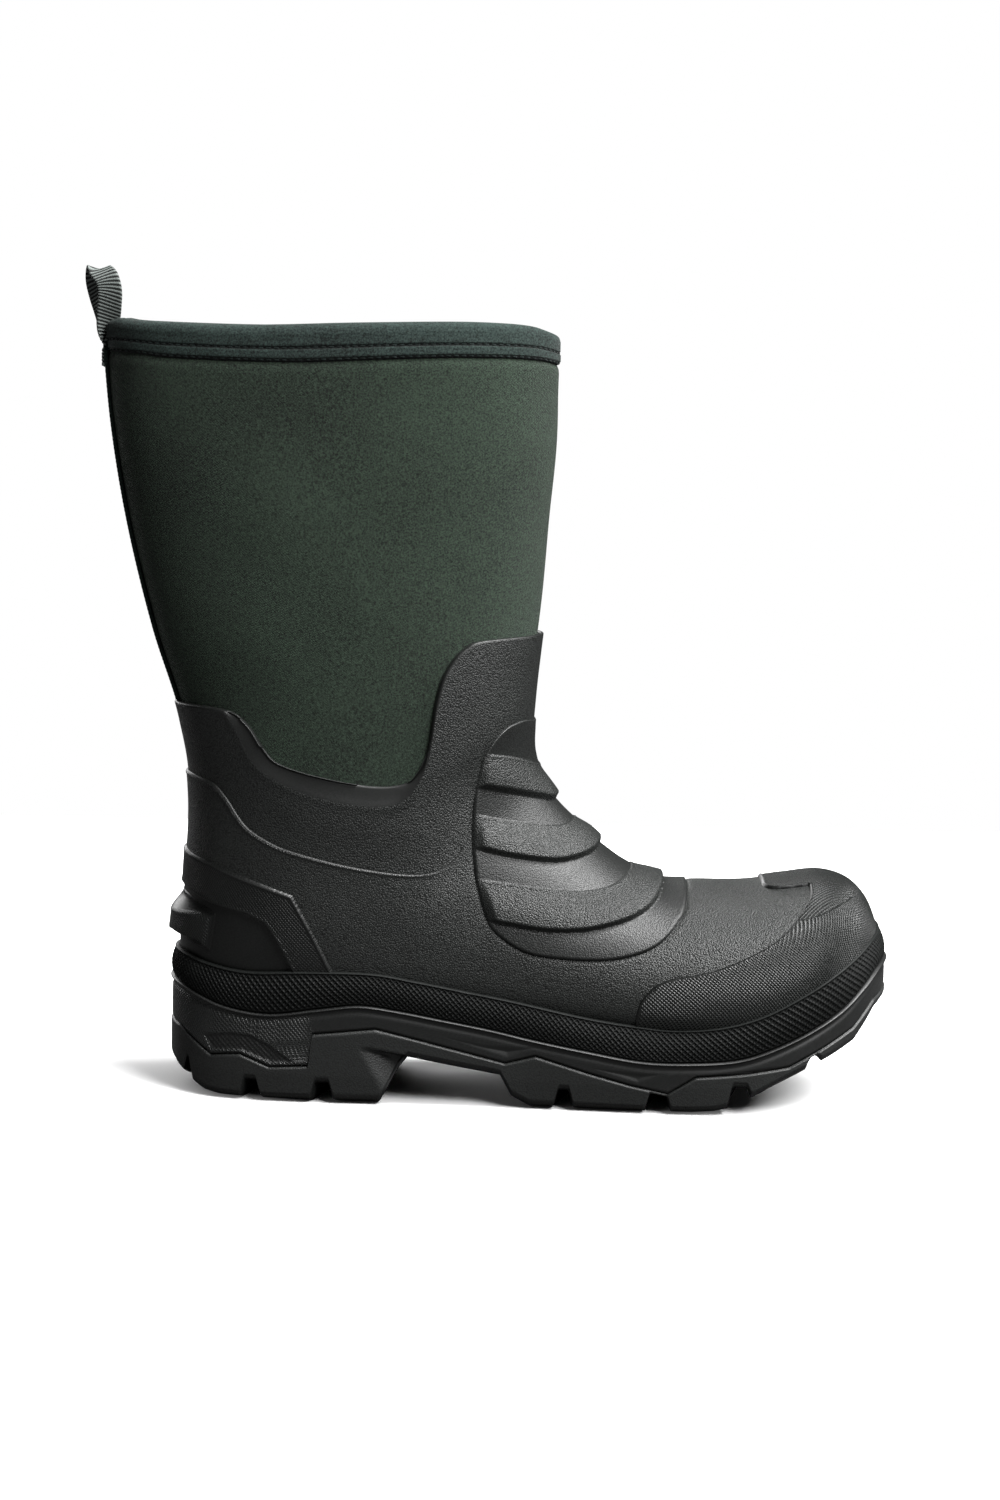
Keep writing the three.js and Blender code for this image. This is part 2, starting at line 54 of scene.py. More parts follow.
# Key sections of the bootie's outer face, from the toe tip up to the top of the leg.
#  front x, z,  sole or back x, z,  outer, inner, ridge, widest, upper power, lower power
SECTIONS = np.array([
    [170.5, 63.0, 170.5, 55.0, 2.0, 18.0, 8, 0.50, 2.0, 2.0],
    [169.0, 72.0, 169.0, 48.0, 12.0, 26.0, 8, 0.42, 2.1, 2.2],
    [165.0, 82.5, 165.0, 43.0, 23.5, 34.0, 8, 0.38, 2.2, 2.4],
    [157.5, 90.0, 157.5, 38.0, 34.5, 41.5, 8, 0.35, 2.3, 2.6],
    [146.0, 93.2, 146.0, 33.0, 44.5, 46.5, 7, 0.33, 2.3, 2.8],
    [131.0, 91.6, 131.0, 29.5, 49.5, 48.5, 6, 0.32, 2.2, 3.0],
    [114.0, 89.6, 114.0, 28.0, 51.5, 49.0, 5, 0.31, 2.1, 3.0],
    [96.0, 89.6, 94.0, 27.5, 51.5, 48.0, 4, 0.30, 2.0, 3.0],
    [76.0, 90.5, 66.0, 28.5, 49.0, 44.5, 3, 0.30, 2.0, 3.0],
    [57.0, 99.0, 32.0, 30.5, 46.0, 40.0, 2, 0.31, 2.0, 3.0],
    [41.0, 112.5, -8.0, 32.5, 43.5, 37.5, 1, 0.34, 2.0, 3.0],
    [29.5, 123.5, -48.0, 33.5, 42.5, 37.5, 0, 0.38, 2.0, 3.2],
    [21.5, 135.5, -88.0, 34.5, 42.0, 38.0, 0, 0.43, 2.0, 3.2],
    [17.5, 147.0, -119.0, 39.0, 42.0, 39.0, 0, 0.47, 2.1, 2.8],
    [17.0, 158.0, -132.5, 60.0, 42.0, 40.0, 0, 0.50, 2.1, 2.4],
    [17.5, 169.0, -131.0, 92.0, 42.0, 40.5, 0, 0.50, 2.2, 2.3],
    [18.3, 181.0, -129.5, 128.0, 42.0, 41.0, 0, 0.50, 2.2, 2.2],
    [19.5, 194.0, -134.0, 163.0, 42.0, 41.5, 0, 0.50, 2.2, 2.2],
    [21.5, 214.0, -146.5, 202.0, 42.0, 42.0, 0, 0.50, 2.2, 2.2],
    [24.5, 250.0, -157.5, 246.0, 42.0, 42.0, 0, 0.50, 2.2, 2.2],
    [27.3, 290.0, -165.0, 290.0, 42.0, 42.0, 0, 0.50, 2.2, 2.2],
    [28.1, 339.0, -169.5, 339.0, 42.0, 42.0, 0, 0.50, 2.2, 2.2],
])
TOP = len(SECTIONS) - 1
LEG_START = 14                 # section where the leg tube meets the bootie, inside the shell
TOE_STATIONS = 5               # sections before this one also grow lengthwise

# Layers, as distances from the bootie's outer face.
SHELL_IN, SHELL_OUT = 0.35, 1.85
SHELL_RIM, SHELL_PLUMP = 2.1, 2.8  # the shell beside the overlay's edge, and higher up
OVERLAY_IN, OVERLAY_OUT = 2.0, 3.0
NEOPRENE_IN, NEOPRENE_OUT = -4.0, 0.0
INSULATION_IN, INSULATION_OUT = -7.6, -5.6
FOOT_LINING_IN, FOOT_LINING_OUT = -9.1, -8.0
LEG_LINING_IN, LEG_LINING_OUT = -5.6, -4.4
INSIDE_FOOT = -9.5
BINDING_OUT, BINDING_IN = -0.1, -7.3
BINDING_CLOTH = 0.8
LEG_PINCH = 1.7                # how far the binding draws the neoprene in

# Outlines in side view, [x, z]; both sides of the boot use them.
COLLAR_LINE = [
    (-160, 169.5), (-134, 169.5), (-119, 169), (-110, 167), (-103, 161), (-97, 152), (-90, 146),
    (-71, 141), (-50, 138), (-37, 139), (-31, 143), (-26, 154), (-23, 174), (-19, 187), (-11, 197),
    (3, 201), (60, 202),
]
COLLAR_CREASE = [
    (-113, 168), (-107, 158), (-101, 147), (-92, 140), (-78, 134), (-60, 130), (-46, 129), (-36, 132),
    (-29, 142), (-26, 155), (-24, 172), (-20, 186),
]
ANKLE_LINE = [
    (-160, 141), (-134, 139.5), (-125, 138), (-118, 135.5), (-112, 129.5), (-107, 122.5), (-102, 117.5),
    (-93, 112.5), (-83, 109), (-57, 103), (-31, 100), (-17, 104), (-8, 116), (4, 134), (60, 150),
    (200, 150),
]
GUARD_OUTLINE = [
    (50, 160), (26, 161.5), (21, 162.7), (18, 164.2), (14, 164.6), (8, 162.5), (3, 158), (-1, 152),
    (-3.5, 144), (-6, 125), (-5, 102), (-3, 92), (1, 80), (7, 73.5), (17, 67.8), (29, 65.5), (49, 64.8),
    (63, 67), (74, 71.5), (82, 79), (87, 88), (88, 110), (70, 140),
]
# Each rib of the guard: its upper line and the lower line that overhangs, from the outer side to the front.
GUARD_RIBS = [
    ([(-10, 153), (-1, 151), (10, 148.5), (19, 144.8), (25, 141), (45, 133)],
     [(-10, 138.5), (-4, 137), (12, 133), (22, 130.3), (29, 128.6), (45, 130)]),
    ([(-10, 126), (-5, 125), (8, 122), (24, 119), (34, 118.5), (41, 122), (55, 132)],
     [(-10, 112), (-5, 111), (6, 108), (20, 105.5), (31, 104.5), (43, 106.2), (50, 109.5), (60, 118)]),
    ([(-10, 99), (-5, 98), (9, 96), (24, 93.7), (40, 92.3), (51, 93), (58, 95), (63, 98.5), (68, 106)],
     [(-10, 84), (0, 81), (11, 79), (25, 76.8), (40, 76.6), (53, 78.5), (65, 82), (73, 87), (78, 94),
      (81, 104)]),
]
TOE_CAP_OUTLINE = [
    (64, 20), (65, 42), (70, 52), (79, 57.5), (99, 62), (120, 71), (131, 79), (138, 87), (141, 92),
    (143, 110), (200, 110), (200, 20),
]
TOE_TAB = (121, 150, 22, 8)    # the cap's tab over the toe: start and end x, half width, corner radius
COUNTER_OUTLINE = [
    (-160, 107), (-133, 105.6), (-129.5, 104), (-118.5, 101.3), (-97, 94.5), (-83.5, 90), (-75, 75),
    (-65, 56), (-65, 40), (-84, 40), (-81, 54), (-85.5, 62.5), (-91, 72), (-95.5, 78), (-103, 81.5),
    (-118.5, 84.5), (-129, 88.5), (-134, 91), (-160, 92),
]
KICK_TOP = [(-160, 92), (-141, 89), (-136, 87.5), (-130, 85), (-124, 82.5), (-117.5, 79.5)]
KICK_FOOT = [(-160, 75), (-141, 71.5), (-136, 68.5), (-128, 65.5), (-120, 63)]
RAND_TOP = [
    (-150, 62), (-134, 61), (-121, 58), (-103, 56), (-81, 57), (-50, 57), (-30, 54), (-8, 50), (14, 46),
    (44, 40), (67, 37), (83, 36), (102, 38), (119, 43), (136, 51.5), (152, 61), (162, 67.5), (170, 73),
    (185, 79),
]
RAND_BOTTOM = [
    (-150, 49), (-136, 48), (-125, 44), (-112, 40), (-93, 38), (-71, 41), (-54, 43), (-37, 41), (-20, 38),
    (2, 34), (21, 30), (44, 26), (68, 22.5), (90, 22.5), (108, 24), (122, 28), (138, 35), (154, 44),
    (165, 53), (174, 60), (185, 62),
]
OUTSOLE_TOP = [
    (-150, 31), (-134, 29), (-127, 24), (-119, 18.5), (-112, 19.5), (-106, 20), (-93, 15), (-76, 16),
    (-74.5, 30), (-47, 33), (-32, 29.5), (9, 19.5), (22, 23), (45, 16.5), (63, 12), (79, 9), (91, 16.5),
    (112, 18.2), (131, 21), (145, 28), (160, 36), (170, 46), (185, 51),
]
OUTSOLE_BOTTOM = [
    (-150, 12.5), (-139.5, 11.5), (-135, 8.8), (-130.5, 6.6), (-126, 3.2), (-121.8, 1), (-115, 0),
    (-45, 0), (-42, 5), (-37, 15), (-33, 20), (-11, 16), (7, 13), (12, 4), (20, 0), (90, 0), (99, 0.6),
    (104.5, 1.8), (115.5, 6.8), (126.5, 12.6), (141, 19.5), (150, 23.5), (160, 28.5), (170, 40),
    (185, 45),
]
WELL_FLOOR = [
    (-150, 20), (-126, 20), (-118, 15), (-47, 15), (-38, 24.5), (-20, 23.5), (7, 20), (20, 13),
    (100, 11.5), (112, 13), (120, 15.5), (127, 18.3), (141, 24.5), (150, 29), (160, 35), (185, 52),
]
# Notches between the lugs: middle x at the wall, width at the ground, height of the top.
LUG_CUTS = [
    (-134.5, 5, 13.5), (-102, 9, 7.5), (-70, 9.5, 7.5), (34.5, 8, 7.5), (75, 10.5, 7.5), (110, 10, 11),
    (142, 6.5, 24),
]
FOOTPRINT = [
    (-139, 0), (-134, -22), (-120, -36), (-98, -43.5), (-65, -47), (-28, -48.5), (10, -50), (45, -54),
    (75, -57.5), (100, -58.5), (122, -57), (143, -51.5), (158, -42), (168, -29.5), (175, -12), (177.5, 8),
    (175, 26), (168, 39.5), (158, 48.5), (142, 54.5), (118, 57), (92, 56), (65, 51.5), (35, 47.5),
    (5, 45.5), (-30, 44.5), (-65, 44), (-98, 41.5), (-120, 34), (-134, 21),
]
INSOLE_LINE = [
    (-150, 48), (-120, 47.4), (-88, 46.6), (-48, 45.6), (-8, 44.6), (32, 42.8), (66, 40.8), (94, 39.8),
    (114, 40.2), (131, 41.8), (146, 45.2), (157, 50), (200, 64),
]
BINDING_FOOT, BINDING_TOP = 319.0, 334.2
TAPE_ENDS = (170.2, 321.2)
LEG_TOP = 332.6
SEAM_HEIGHTS = (0.9, 5.7)      # of the binding's stitch rows above its lower edge
# How much higher the binding's two edges lie than that, along the boot: [x, mm].
TOP_WAVE = [
    (-172, -1.5), (-165, 1.0), (-154, 0), (-105, -0.8), (-61, 0.7), (-17, 1.8), (5, 1.5), (17, 0.6),
    (23, -0.9), (30, -3.6),
]
FOOT_WAVE = [
    (-170, 2.2), (-154, 1.3), (-140, 0), (-105, -0.9), (-83, -0.8), (-61, 0.2), (-39, 1.3), (-17, 2.1),
    (5, 2.1), (18, 1.5), (25, 0.4), (30, -1.4),
]
KNURL_PITCH, RAND_WIDTH = 2.6, 15.6   # of the rand's net

# The photograph's view: a level camera at the height of the leg's top edge, looking along +Y.
CAMERA_PLACE = (4.7, -1500.0, 335.0)
CAMERA_TARGET = (4.7, 0.0, 149.3)
CAMERA_ROLL = math.radians(0.98)
FRAME_HEIGHT = 660.0           # what the frame covers from top to bottom at the boot
PAPER_BOUNCE, PAPER_GLOW, STUDIO_GLOW = 0.07, 0.5, 0.035
SHADOW_MIDDLE, SHADOW_REACH = (15, 0), (172, 66)   # the dim patch of paper right under the boot
# Soft boxes: name, place and size in metres, power in watts.
LIGHTS = [
    ("key", (0.9, -1.2, 1.4), (0.8, 0.8), 43),
    ("fill", (-1.3, -1.6, 0.7), (1.0, 1.2), 3),
    ("top", (0.6, -0.3, 1.8), (0.8, 0.6), 74),
    ("side", (1.3, 0.0, 1.2), (0.7, 0.7), 28),
    ("rim", (-0.8, 1.6, 0.9), (1.6, 1.4), 26),
]


# ================================================================ numbers and lines
def catmull_rom(table, where):
    """Rows of `table` joined smoothly, at fractional row numbers."""
    last = len(table) - 1
    where = np.clip(where, 0, last)
    base = np.minimum(where.astype(int), last - 1)
    t = (where - base)[..., None]
    p1 = table[base]
    p2 = table[base + 1]
    p0 = np.where(base[..., None] > 0, table[np.maximum(base - 1, 0)], 2 * p1 - p2)
    p3 = np.where(base[..., None] < last - 1, table[np.minimum(base + 2, last)], 2 * p2 - p1)
    return 0.5 * (2 * p1 + (p2 - p0) * t + (2 * p0 - 5 * p1 + 4 * p2 - p3) * t ** 2
                  + (3 * p1 - p0 - 3 * p2 + p3) * t ** 3)


def smooth_line(points, steps=6):
    """An open line through the points, rounded."""
    table = np.array(points, float)
    return catmull_rom(table, np.linspace(0, len(table) - 1, (len(table) - 1) * steps + 1))


def closed_curve(points, count):
    """A closed smooth curve through the points, as `count` evenly spaced points."""
    table = np.array(points, float)
    ring = np.vstack([table[-2:], table, table[:3]])
    dense = catmull_rom(ring, np.linspace(2, len(table) + 2, 6000))
    length = np.concatenate([[0], np.cumsum(np.linalg.norm(np.diff(dense, axis=0), axis=1))])
    at = np.linspace(0, length[-1], count, endpoint=False)
    return np.stack([np.interp(at, length, dense[:, k]) for k in range(dense.shape[1])], 1)


def height_of(line, x):
    line = np.asarray(line, float)
    return np.interp(x, line[:, 0], line[:, 1])


def ease(low, high, value):
    t = np.clip((value - low) / (high - low), 0, 1)
    return t * t * (3 - 2 * t)


def mix(a, b, t):
    return a + (b - a) * t


def groove(distance, depth, width):
    """A smooth dip or bead of the given depth and width where the distance is zero."""
    return depth * np.exp(-(distance / width) ** 2)


def ripple(points, size, seed=0):
    """Smooth unevenness of about -1 to 1 over a grid of points, with features of about `size` mm."""
    random = np.random.default_rng(SEED + seed)
    total = np.zeros(points.shape[:-1])
    for _ in range(7):
        direction = random.normal(size=3)
        direction /= np.linalg.norm(direction)
        wave = 2 * math.pi / (size * random.uniform(0.7, 1.6))
        total += np.sin(points @ direction * wave + random.uniform(0, 2 * math.pi))
    return total / 4


def line_distance(points, line):
    """Side-view distance from each point to an open line."""
    x, z = points[..., 0], points[..., 2]
    best = np.full(x.shape, 1e9)
    for (x0, z0), (x1, z1) in zip(line[:-1], line[1:]):
        dx, dz = x1 - x0, z1 - z0
        t = np.clip(((x - x0) * dx + (z - z0) * dz) / (dx * dx + dz * dz + 1e-12), 0, 1)
        best = np.minimum(best, np.hypot(x - x0 - t * dx, z - z0 - t * dz))
    return best


def outline_distance(points, outline):
    """Side-view distance to a closed outline, positive inside it."""
    x, z = points[..., 0], points[..., 2]
    loop = np.vstack([outline, outline[:1]])
    inside = np.zeros(x.shape, bool)
    for (x0, z0), (x1, z1) in zip(loop[:-1], loop[1:]):
        crosses = (z0 > z) != (z1 > z)
        reach = x0 + (z - z0) * (x1 - x0) / (z1 - z0 if z1 != z0 else 1e-9)
        inside ^= crosses & (x < reach)
    return np.where(inside, 1, -1) * line_distance(points, loop)


def above_distance(points, line):
    """Side-view distance to an open line that runs along X, positive above it."""
    above = points[..., 2] > height_of(line, points[..., 0])
    return np.where(above, 1, -1) * line_distance(points, line)


def along_surface(distance, grid):
    """A side-view distance on a grid of points, turned into distance along the surface."""
    slopes = []
    for axis in (0, 1):
        step = np.linalg.norm(np.gradient(grid, axis=axis), axis=2)
        slopes.append(np.gradient(distance, axis=axis) / (step + 1e-6))
    return distance / np.clip(np.hypot(*slopes), 0.15, 1.0)


# ================================================================ the boot's own surface
def raw_surface(s, turn, offset):
    """Points of the section surface. `turn` runs from the front ridge round the outer side."""
    fx, fz, bx, bz, outer, inner, ridge, widest, upper, lower = np.moveaxis(catmull_rom(SECTIONS, s), -1, 0)
    ax, az = fx - bx, fz - bz
    length = np.hypot(ax, az)
    rise, sweep = np.cos(turn), np.sin(turn)
    power = 2 / np.where(rise >= 0, upper, lower)
    reach = np.where(rise >= 0, (1 - widest) * length, widest * length) + offset
    climb = widest * length + np.sign(rise) * reach * np.abs(rise) ** power
    spread = np.abs(sweep) ** power
    side = np.where(sweep >= 0, -(outer + ridge + offset), inner - ridge + offset)
    toe_shift = offset * np.clip(1 - s / TOE_STATIONS, 0, None)
    up_x, up_z = ax / length * climb, az / length * climb
    return np.stack([bx + up_x + toe_shift, ridge + side * spread, bz + up_z], -1)


TURN_ROWS_PER_SECTION = 12
TURN_STEPS = 180


def make_turn_tables():
    """For each section, the turn at even steps along its outline: outer half, then inner half."""
    rows = np.linspace(0, TOP, TOP * TURN_ROWS_PER_SECTION + 1)
    fine = np.linspace(0, math.pi, 2 * TURN_STEPS + 1)
    even = np.linspace(0, 1, TURN_STEPS + 1)
    tables = []
    for direction in (1, -1):
        points = raw_surface(rows[:, None] + 0 * fine, direction * fine + 0 * rows[:, None], 0.0)
        steps = np.linalg.norm(np.diff(points, axis=1), axis=2)
        share = np.concatenate([np.zeros((len(rows), 1)), np.cumsum(steps, 1)], 1)
        share /= share[:, -1:]
        tables.append(np.array([np.interp(even, row, fine) for row in share]))
    return tables


TURN_TABLES = make_turn_tables()


def turn_at(s, around):
    """The turn at `around`: 0 is the front ridge, 0.5 the sole or back, and 0 to 0.5 the outer side."""
    around = np.mod(around, 1.0)
    outer_side = around <= 0.5
    share = np.where(outer_side, around, 1 - around) * 2 * TURN_STEPS
    row = np.clip(s, 0, TOP) * TURN_ROWS_PER_SECTION
    r0 = np.minimum(row.astype(int), TOP * TURN_ROWS_PER_SECTION - 1)
    c0 = np.minimum(share.astype(int), TURN_STEPS - 1)
    fr, fc = row - r0, share - c0
    turns = []
    for table in TURN_TABLES:
        low = mix(table[r0, c0], table[r0, c0 + 1], fc)
        high = mix(table[r0 + 1, c0], table[r0 + 1, c0 + 1], fc)
        turns.append(mix(low, high, fr))
    return np.where(outer_side, turns[0], -turns[1])


def boot_surface(s, around, offset):
    """Points on the boot, `offset` mm outside the bootie's outer face."""
    s, around, offset = np.broadcast_arrays(*[np.asarray(v, float) for v in (s, around, offset)])
    return raw_surface(s, turn_at(s, around), offset)


def sections_at(line, around, offset=2.0, low=9.0):
    """For each `around`, the last section at which the surface is still under a side-view line."""
    rows = np.linspace(low, TOP, 1200)
    points = boot_surface(rows[:, None], np.asarray(around)[None, :], offset)
    depth = height_of(smooth_line(line), points[..., 0]) - points[..., 2]
    result = []
    for column in depth.T:
        hits = np.nonzero((column[:-1] > 0) & (column[1:] <= 0))[0]
        k = hits[-1] if len(hits) else len(rows) - 2
        result.append(mix(rows[k], rows[k + 1], column[k] / (column[k] - column[k + 1] + 1e-12)))
    return np.array(result)


def points_near_line(line, sections, columns, offset, tolerance):
    """In plan, the points of a layer of the boot that lie near a side-view line."""
    cloud = boot_surface(np.linspace(*sections)[:, None], even_columns(columns)[None, :], offset)
    cloud = cloud.reshape(-1, 3)
    return cloud[np.abs(cloud[:, 2] - height_of(line, cloud[:, 0])) < tolerance][:, :2]


def section_of_height(z):
    """The section number of the straight top part of the leg at height z."""
    lower, upper = SECTIONS[TOP - 1, 1], SECTIONS[TOP, 1]
    return TOP - 1 + (z - lower) / (upper - lower)


SECTIONS_PER_MM = section_of_height(1.0) - section_of_height(0.0)  # in the leg's top part


# ================================================================ mesh building
def add_mesh(name, points, faces, material, attributes=None):
    """A smooth-shaded mesh from points in millimetres, with named values or vectors per point."""
    mesh = bpy.data.meshes.new(name)
    mesh.from_pydata((np.asarray(points, float) * MM).tolist(), [], faces)
    mesh.polygons.foreach_set("use_smooth", [True] * len(mesh.polygons))
    mesh.materials.append(material)
    for key, values in (attributes or {}).items():
        values = np.asarray(values, np.float32)
        if values.ndim == 2:
            mesh.attributes.new(key, "FLOAT_VECTOR", "POINT").data.foreach_set("vector", values.ravel())
        else:
            mesh.attributes.new(key, "FLOAT", "POINT").data.foreach_set("value", values)
    piece = bpy.data.objects.new(name, mesh)
    bpy.context.scene.collection.objects.link(piece)
    return piece


def run_lengths(grid, axis):
    """Distance run along one axis of a grid of points."""
    steps = np.linalg.norm(np.diff(grid, axis=axis), axis=2)
    first = np.zeros_like(np.take(steps, [0], axis=axis))
    return np.concatenate([first, np.cumsum(steps, axis=axis)], axis=axis)


def grid_piece(name, grid, material, wrap_rows=False, wrap_columns=True, closed_ends=False, turned=False,
               keep=None, grain=None, coords=None):
    """A mesh from a grid of points [row, column].

    `keep` marks the points whose faces are made, `grain` is how rough the surface is and, on the rand,
    the binding and the loop, a painted shade in the colour, and the pattern coordinates of the materials
    run along columns and rows unless `coords` gives them.
    """
    rows, columns = grid.shape[:2]
    k, j = np.meshgrid(np.arange(rows if wrap_rows else rows - 1),
                       np.arange(columns if wrap_columns else columns - 1), indexing="ij")
    k2, j2 = (k + 1) % rows, (j + 1) % columns
    row, next_row = k * columns, k2 * columns
    quads = np.stack([row + j, row + j2, next_row + j2, next_row + j], -1).reshape(-1, 4)
    if turned:
        quads = quads[:, ::-1]
    points = grid.reshape(-1, 3)
    if coords is None:
        coords = np.stack([run_lengths(grid, 1), run_lengths(grid, 0)], -1)
    flat_coords = np.zeros((len(points), 3))
    flat_coords[:, :2] = np.asarray(coords).reshape(-1, 2) * MM
    flat_grain = np.ones(len(points)) if grain is None else np.broadcast_to(grain, (rows, columns)).ravel()
    if keep is not None:
        quads = quads[keep.ravel()[quads].any(axis=1)]
        used, quads = np.unique(quads, return_inverse=True)
        quads = quads.reshape(-1, 4)
        points, flat_coords, flat_grain = points[used], flat_coords[used], flat_grain[used]
    faces = quads.tolist()
    if closed_ends:
        ring = list(range(columns))
        last = [(rows - 1) * columns + step for step in ring]
        faces.append(ring if turned else ring[::-1])
        faces.append(last[::-1] if turned else last)
    return add_mesh(name, points, faces, material, {"pattern": flat_coords, "grain": flat_grain})


def even_columns(count):
    return np.arange(count) / count


def spaced(low, high, count):
    """`count` values from low to high; either may hold one value per column."""
    low, high = np.asarray(low, float), np.asarray(high, float)
    return [mix(low, high, t) for t in np.linspace(0, 1, count)]


def layer(name, rows, around, material, wrap_rows=False, grain=None, bumps=None):
    """A closed layer of the boot from rows of (section, offset), each a number or one value per column."""
    s = np.array([np.broadcast_to(row[0], around.shape) for row in rows], float)
    offset = np.array([np.broadcast_to(row[1], around.shape) for row in rows], float)
    grid = boot_surface(s, around[None, :], offset)
    if bumps is not None:
        grid = boot_surface(s, around[None, :], offset + bumps(grid, offset))
    return grid_piece(name, grid, material, wrap_rows=wrap_rows, closed_ends=not wrap_rows, turned=True,
                      grain=grain(grid) if grain else None)


def relief(name, sections, around, spacing, height, material, base=OVERLAY_OUT):
    """A moulded skin on the overlay. `height` gives, for the points under it, its relief and grain.

    Relief under zero sinks into the overlay, and faces well under it are left out.
    """
    middle_s, middle_a = np.mean(sections), np.mean(around)
    across = boot_surface(np.linspace(*sections, 60), middle_a, base)
    round_it = boot_surface(middle_s, np.linspace(*around, 60), base)
    rows = int(np.linalg.norm(np.diff(across, axis=0), axis=1).sum() / spacing)
    columns = int(np.linalg.norm(np.diff(round_it, axis=0), axis=1).sum() / spacing)
    s = np.linspace(*sections, rows)[:, None]
    a = np.linspace(*around, columns)[None, :]
    ground = boot_surface(s, a, base)
    rise, grain = height(ground)
    grid = boot_surface(s, a, base + rise)
    aside = np.abs(ground[..., 1] - MIDDLE_Y)
    end = 1 if ground[..., 0].mean() < 0 else -1
    normal = np.cross(np.gradient(ground, axis=0), np.gradient(ground, axis=1))
    on_top = np.abs(normal[..., 2]) > 0.75 * np.linalg.norm(normal, axis=2)
    along = ground[..., 0] + np.where(on_top, 0, end * aside)
    coords = np.stack([along, np.where(on_top, aside, ground[..., 2])], -1)
    return grid_piece(name, grid, material, wrap_columns=False, turned=True, keep=rise > -0.25, grain=grain,
                      coords=coords)


def stand_for(piece, node, body=None):
    """Put a piece in a CAD node's place: it rides on a body, or keeps its place with its transform baked in.
    """
    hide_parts(node)
    if body:
        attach(piece, body)
    else:
        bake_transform(piece)


# ================================================================ materials
def start_material(name):
    material = bpy.data.materials.new(name)
    material.use_nodes = True
    return material, material.node_tree, material.node_tree.nodes["Principled BSDF"]


def add_node(tree, kind, links=None, **values):
    """A shader node with its settings and unlinked inputs, and `links` from other sockets to its inputs."""
    made = tree.nodes.new("ShaderNode" + kind)
    for key, value in values.items():
        if hasattr(made, key):
            setattr(made, key, value)
        else:
            made.inputs[key.replace("_", " ")].default_value = value
    for key, source in (links or {}).items():
        tree.links.new(source, made.inputs[key])
    return made


def math_node(operation, a, b=None):
    """A Math node on sockets and numbers; at least one of them is a socket."""
    tree = (b if isinstance(a, (int, float)) else a).id_data
    made = tree.nodes.new("ShaderNodeMath")
    made.operation = operation
    for slot, value in zip(made.inputs, (a, b)):
        if isinstance(value, (int, float)):
            slot.default_value = value
        elif value is not None:
            tree.links.new(value, slot)
    return made.outputs[0]


def plus(a, b):
    return math_node("ADD", a, b)


def times(a, b):
    return math_node("MULTIPLY", a, b)


def remap(value, **limits):
    """The value moved from one range to another, given as From_Min, From_Max, To_Min and To_Max."""
    return add_node(value.id_data, "MapRange", {"Value": value}, **limits).outputs["Result"]


def mix_colours(tree, factor, low, high):
    """Colour from low to high as the factor goes from 0 to 1; each is a socket or a shade."""
    blend = tree.nodes.new("ShaderNodeMix")
    blend.data_type = "RGBA"
    tree.links.new(factor, blend.inputs["Factor"])
    for key, colour in (("A", low), ("B", high)):
        if isinstance(colour, tuple):
            blend.inputs[key].default_value = (*colour, 1)
        else:
            tree.links.new(colour, blend.inputs[key])
    return blend.outputs["Result"]


def ramp(tree, factor, shade, darkest, lightest, start=0.0, end=1.0):
    """A shade from `darkest` to `lightest` times itself as the factor goes from start to end."""
    low, high = (tuple(level * c for c in shade) for level in (darkest, lightest))
    return mix_colours(tree, remap(factor, From_Min=start, From_Max=end), low, high)


def object_coords(tree):
    return add_node(tree, "TexCoord").outputs["Object"]


def noise(tree, coords, scale, detail=3.0, roughness=0.55):
    made = add_node(tree, "TexNoise", {"Vector": coords}, Scale=scale, Detail=detail, Roughness=roughness)
    return made.outputs["Fac"]


def bump(height, strength, distance, under=None):
    links = {"Height": height, "Normal": under} if under else {"Height": height}
    return add_node(height.id_data, "Bump", links, Strength=strength, Distance=distance).outputs["Normal"]


def attribute(tree, name, output):
    return add_node(tree, "Attribute", attribute_name=name).outputs[output]


def pattern_axes(tree):
    axes = add_node(tree, "SeparateXYZ", {"Vector": attribute(tree, "pattern", "Vector")})
    return axes.outputs["X"], axes.outputs["Y"]


def finish_shader(tree, shader, colour, normal, roughness, **fixed):
    """Link or set what makes a surface; `fixed` are numbers on the shader's own sockets."""
    tree.links.new(colour, shader.inputs["Base Color"])
    tree.links.new(normal, shader.inputs["Normal"])
    if isinstance(roughness, (int, float)):
        shader.inputs["Roughness"].default_value = roughness
    else:
        tree.links.new(roughness, shader.inputs["Roughness"])
    for key, value in fixed.items():
        shader.inputs[key.replace("_", " ")].default_value = value


def diamond_lines(tree, pitch):
    """Height of a net of ridges along both diagonals of the piece's pattern coordinates."""
    x, y = pattern_axes(tree)
    turn = 2 * math.pi / pitch
    waves = [math_node("COSINE", plus(times(x, turn), times(y, sign * turn))) for sign in (1, -1)]
    return math_node("MAXIMUM", *waves)


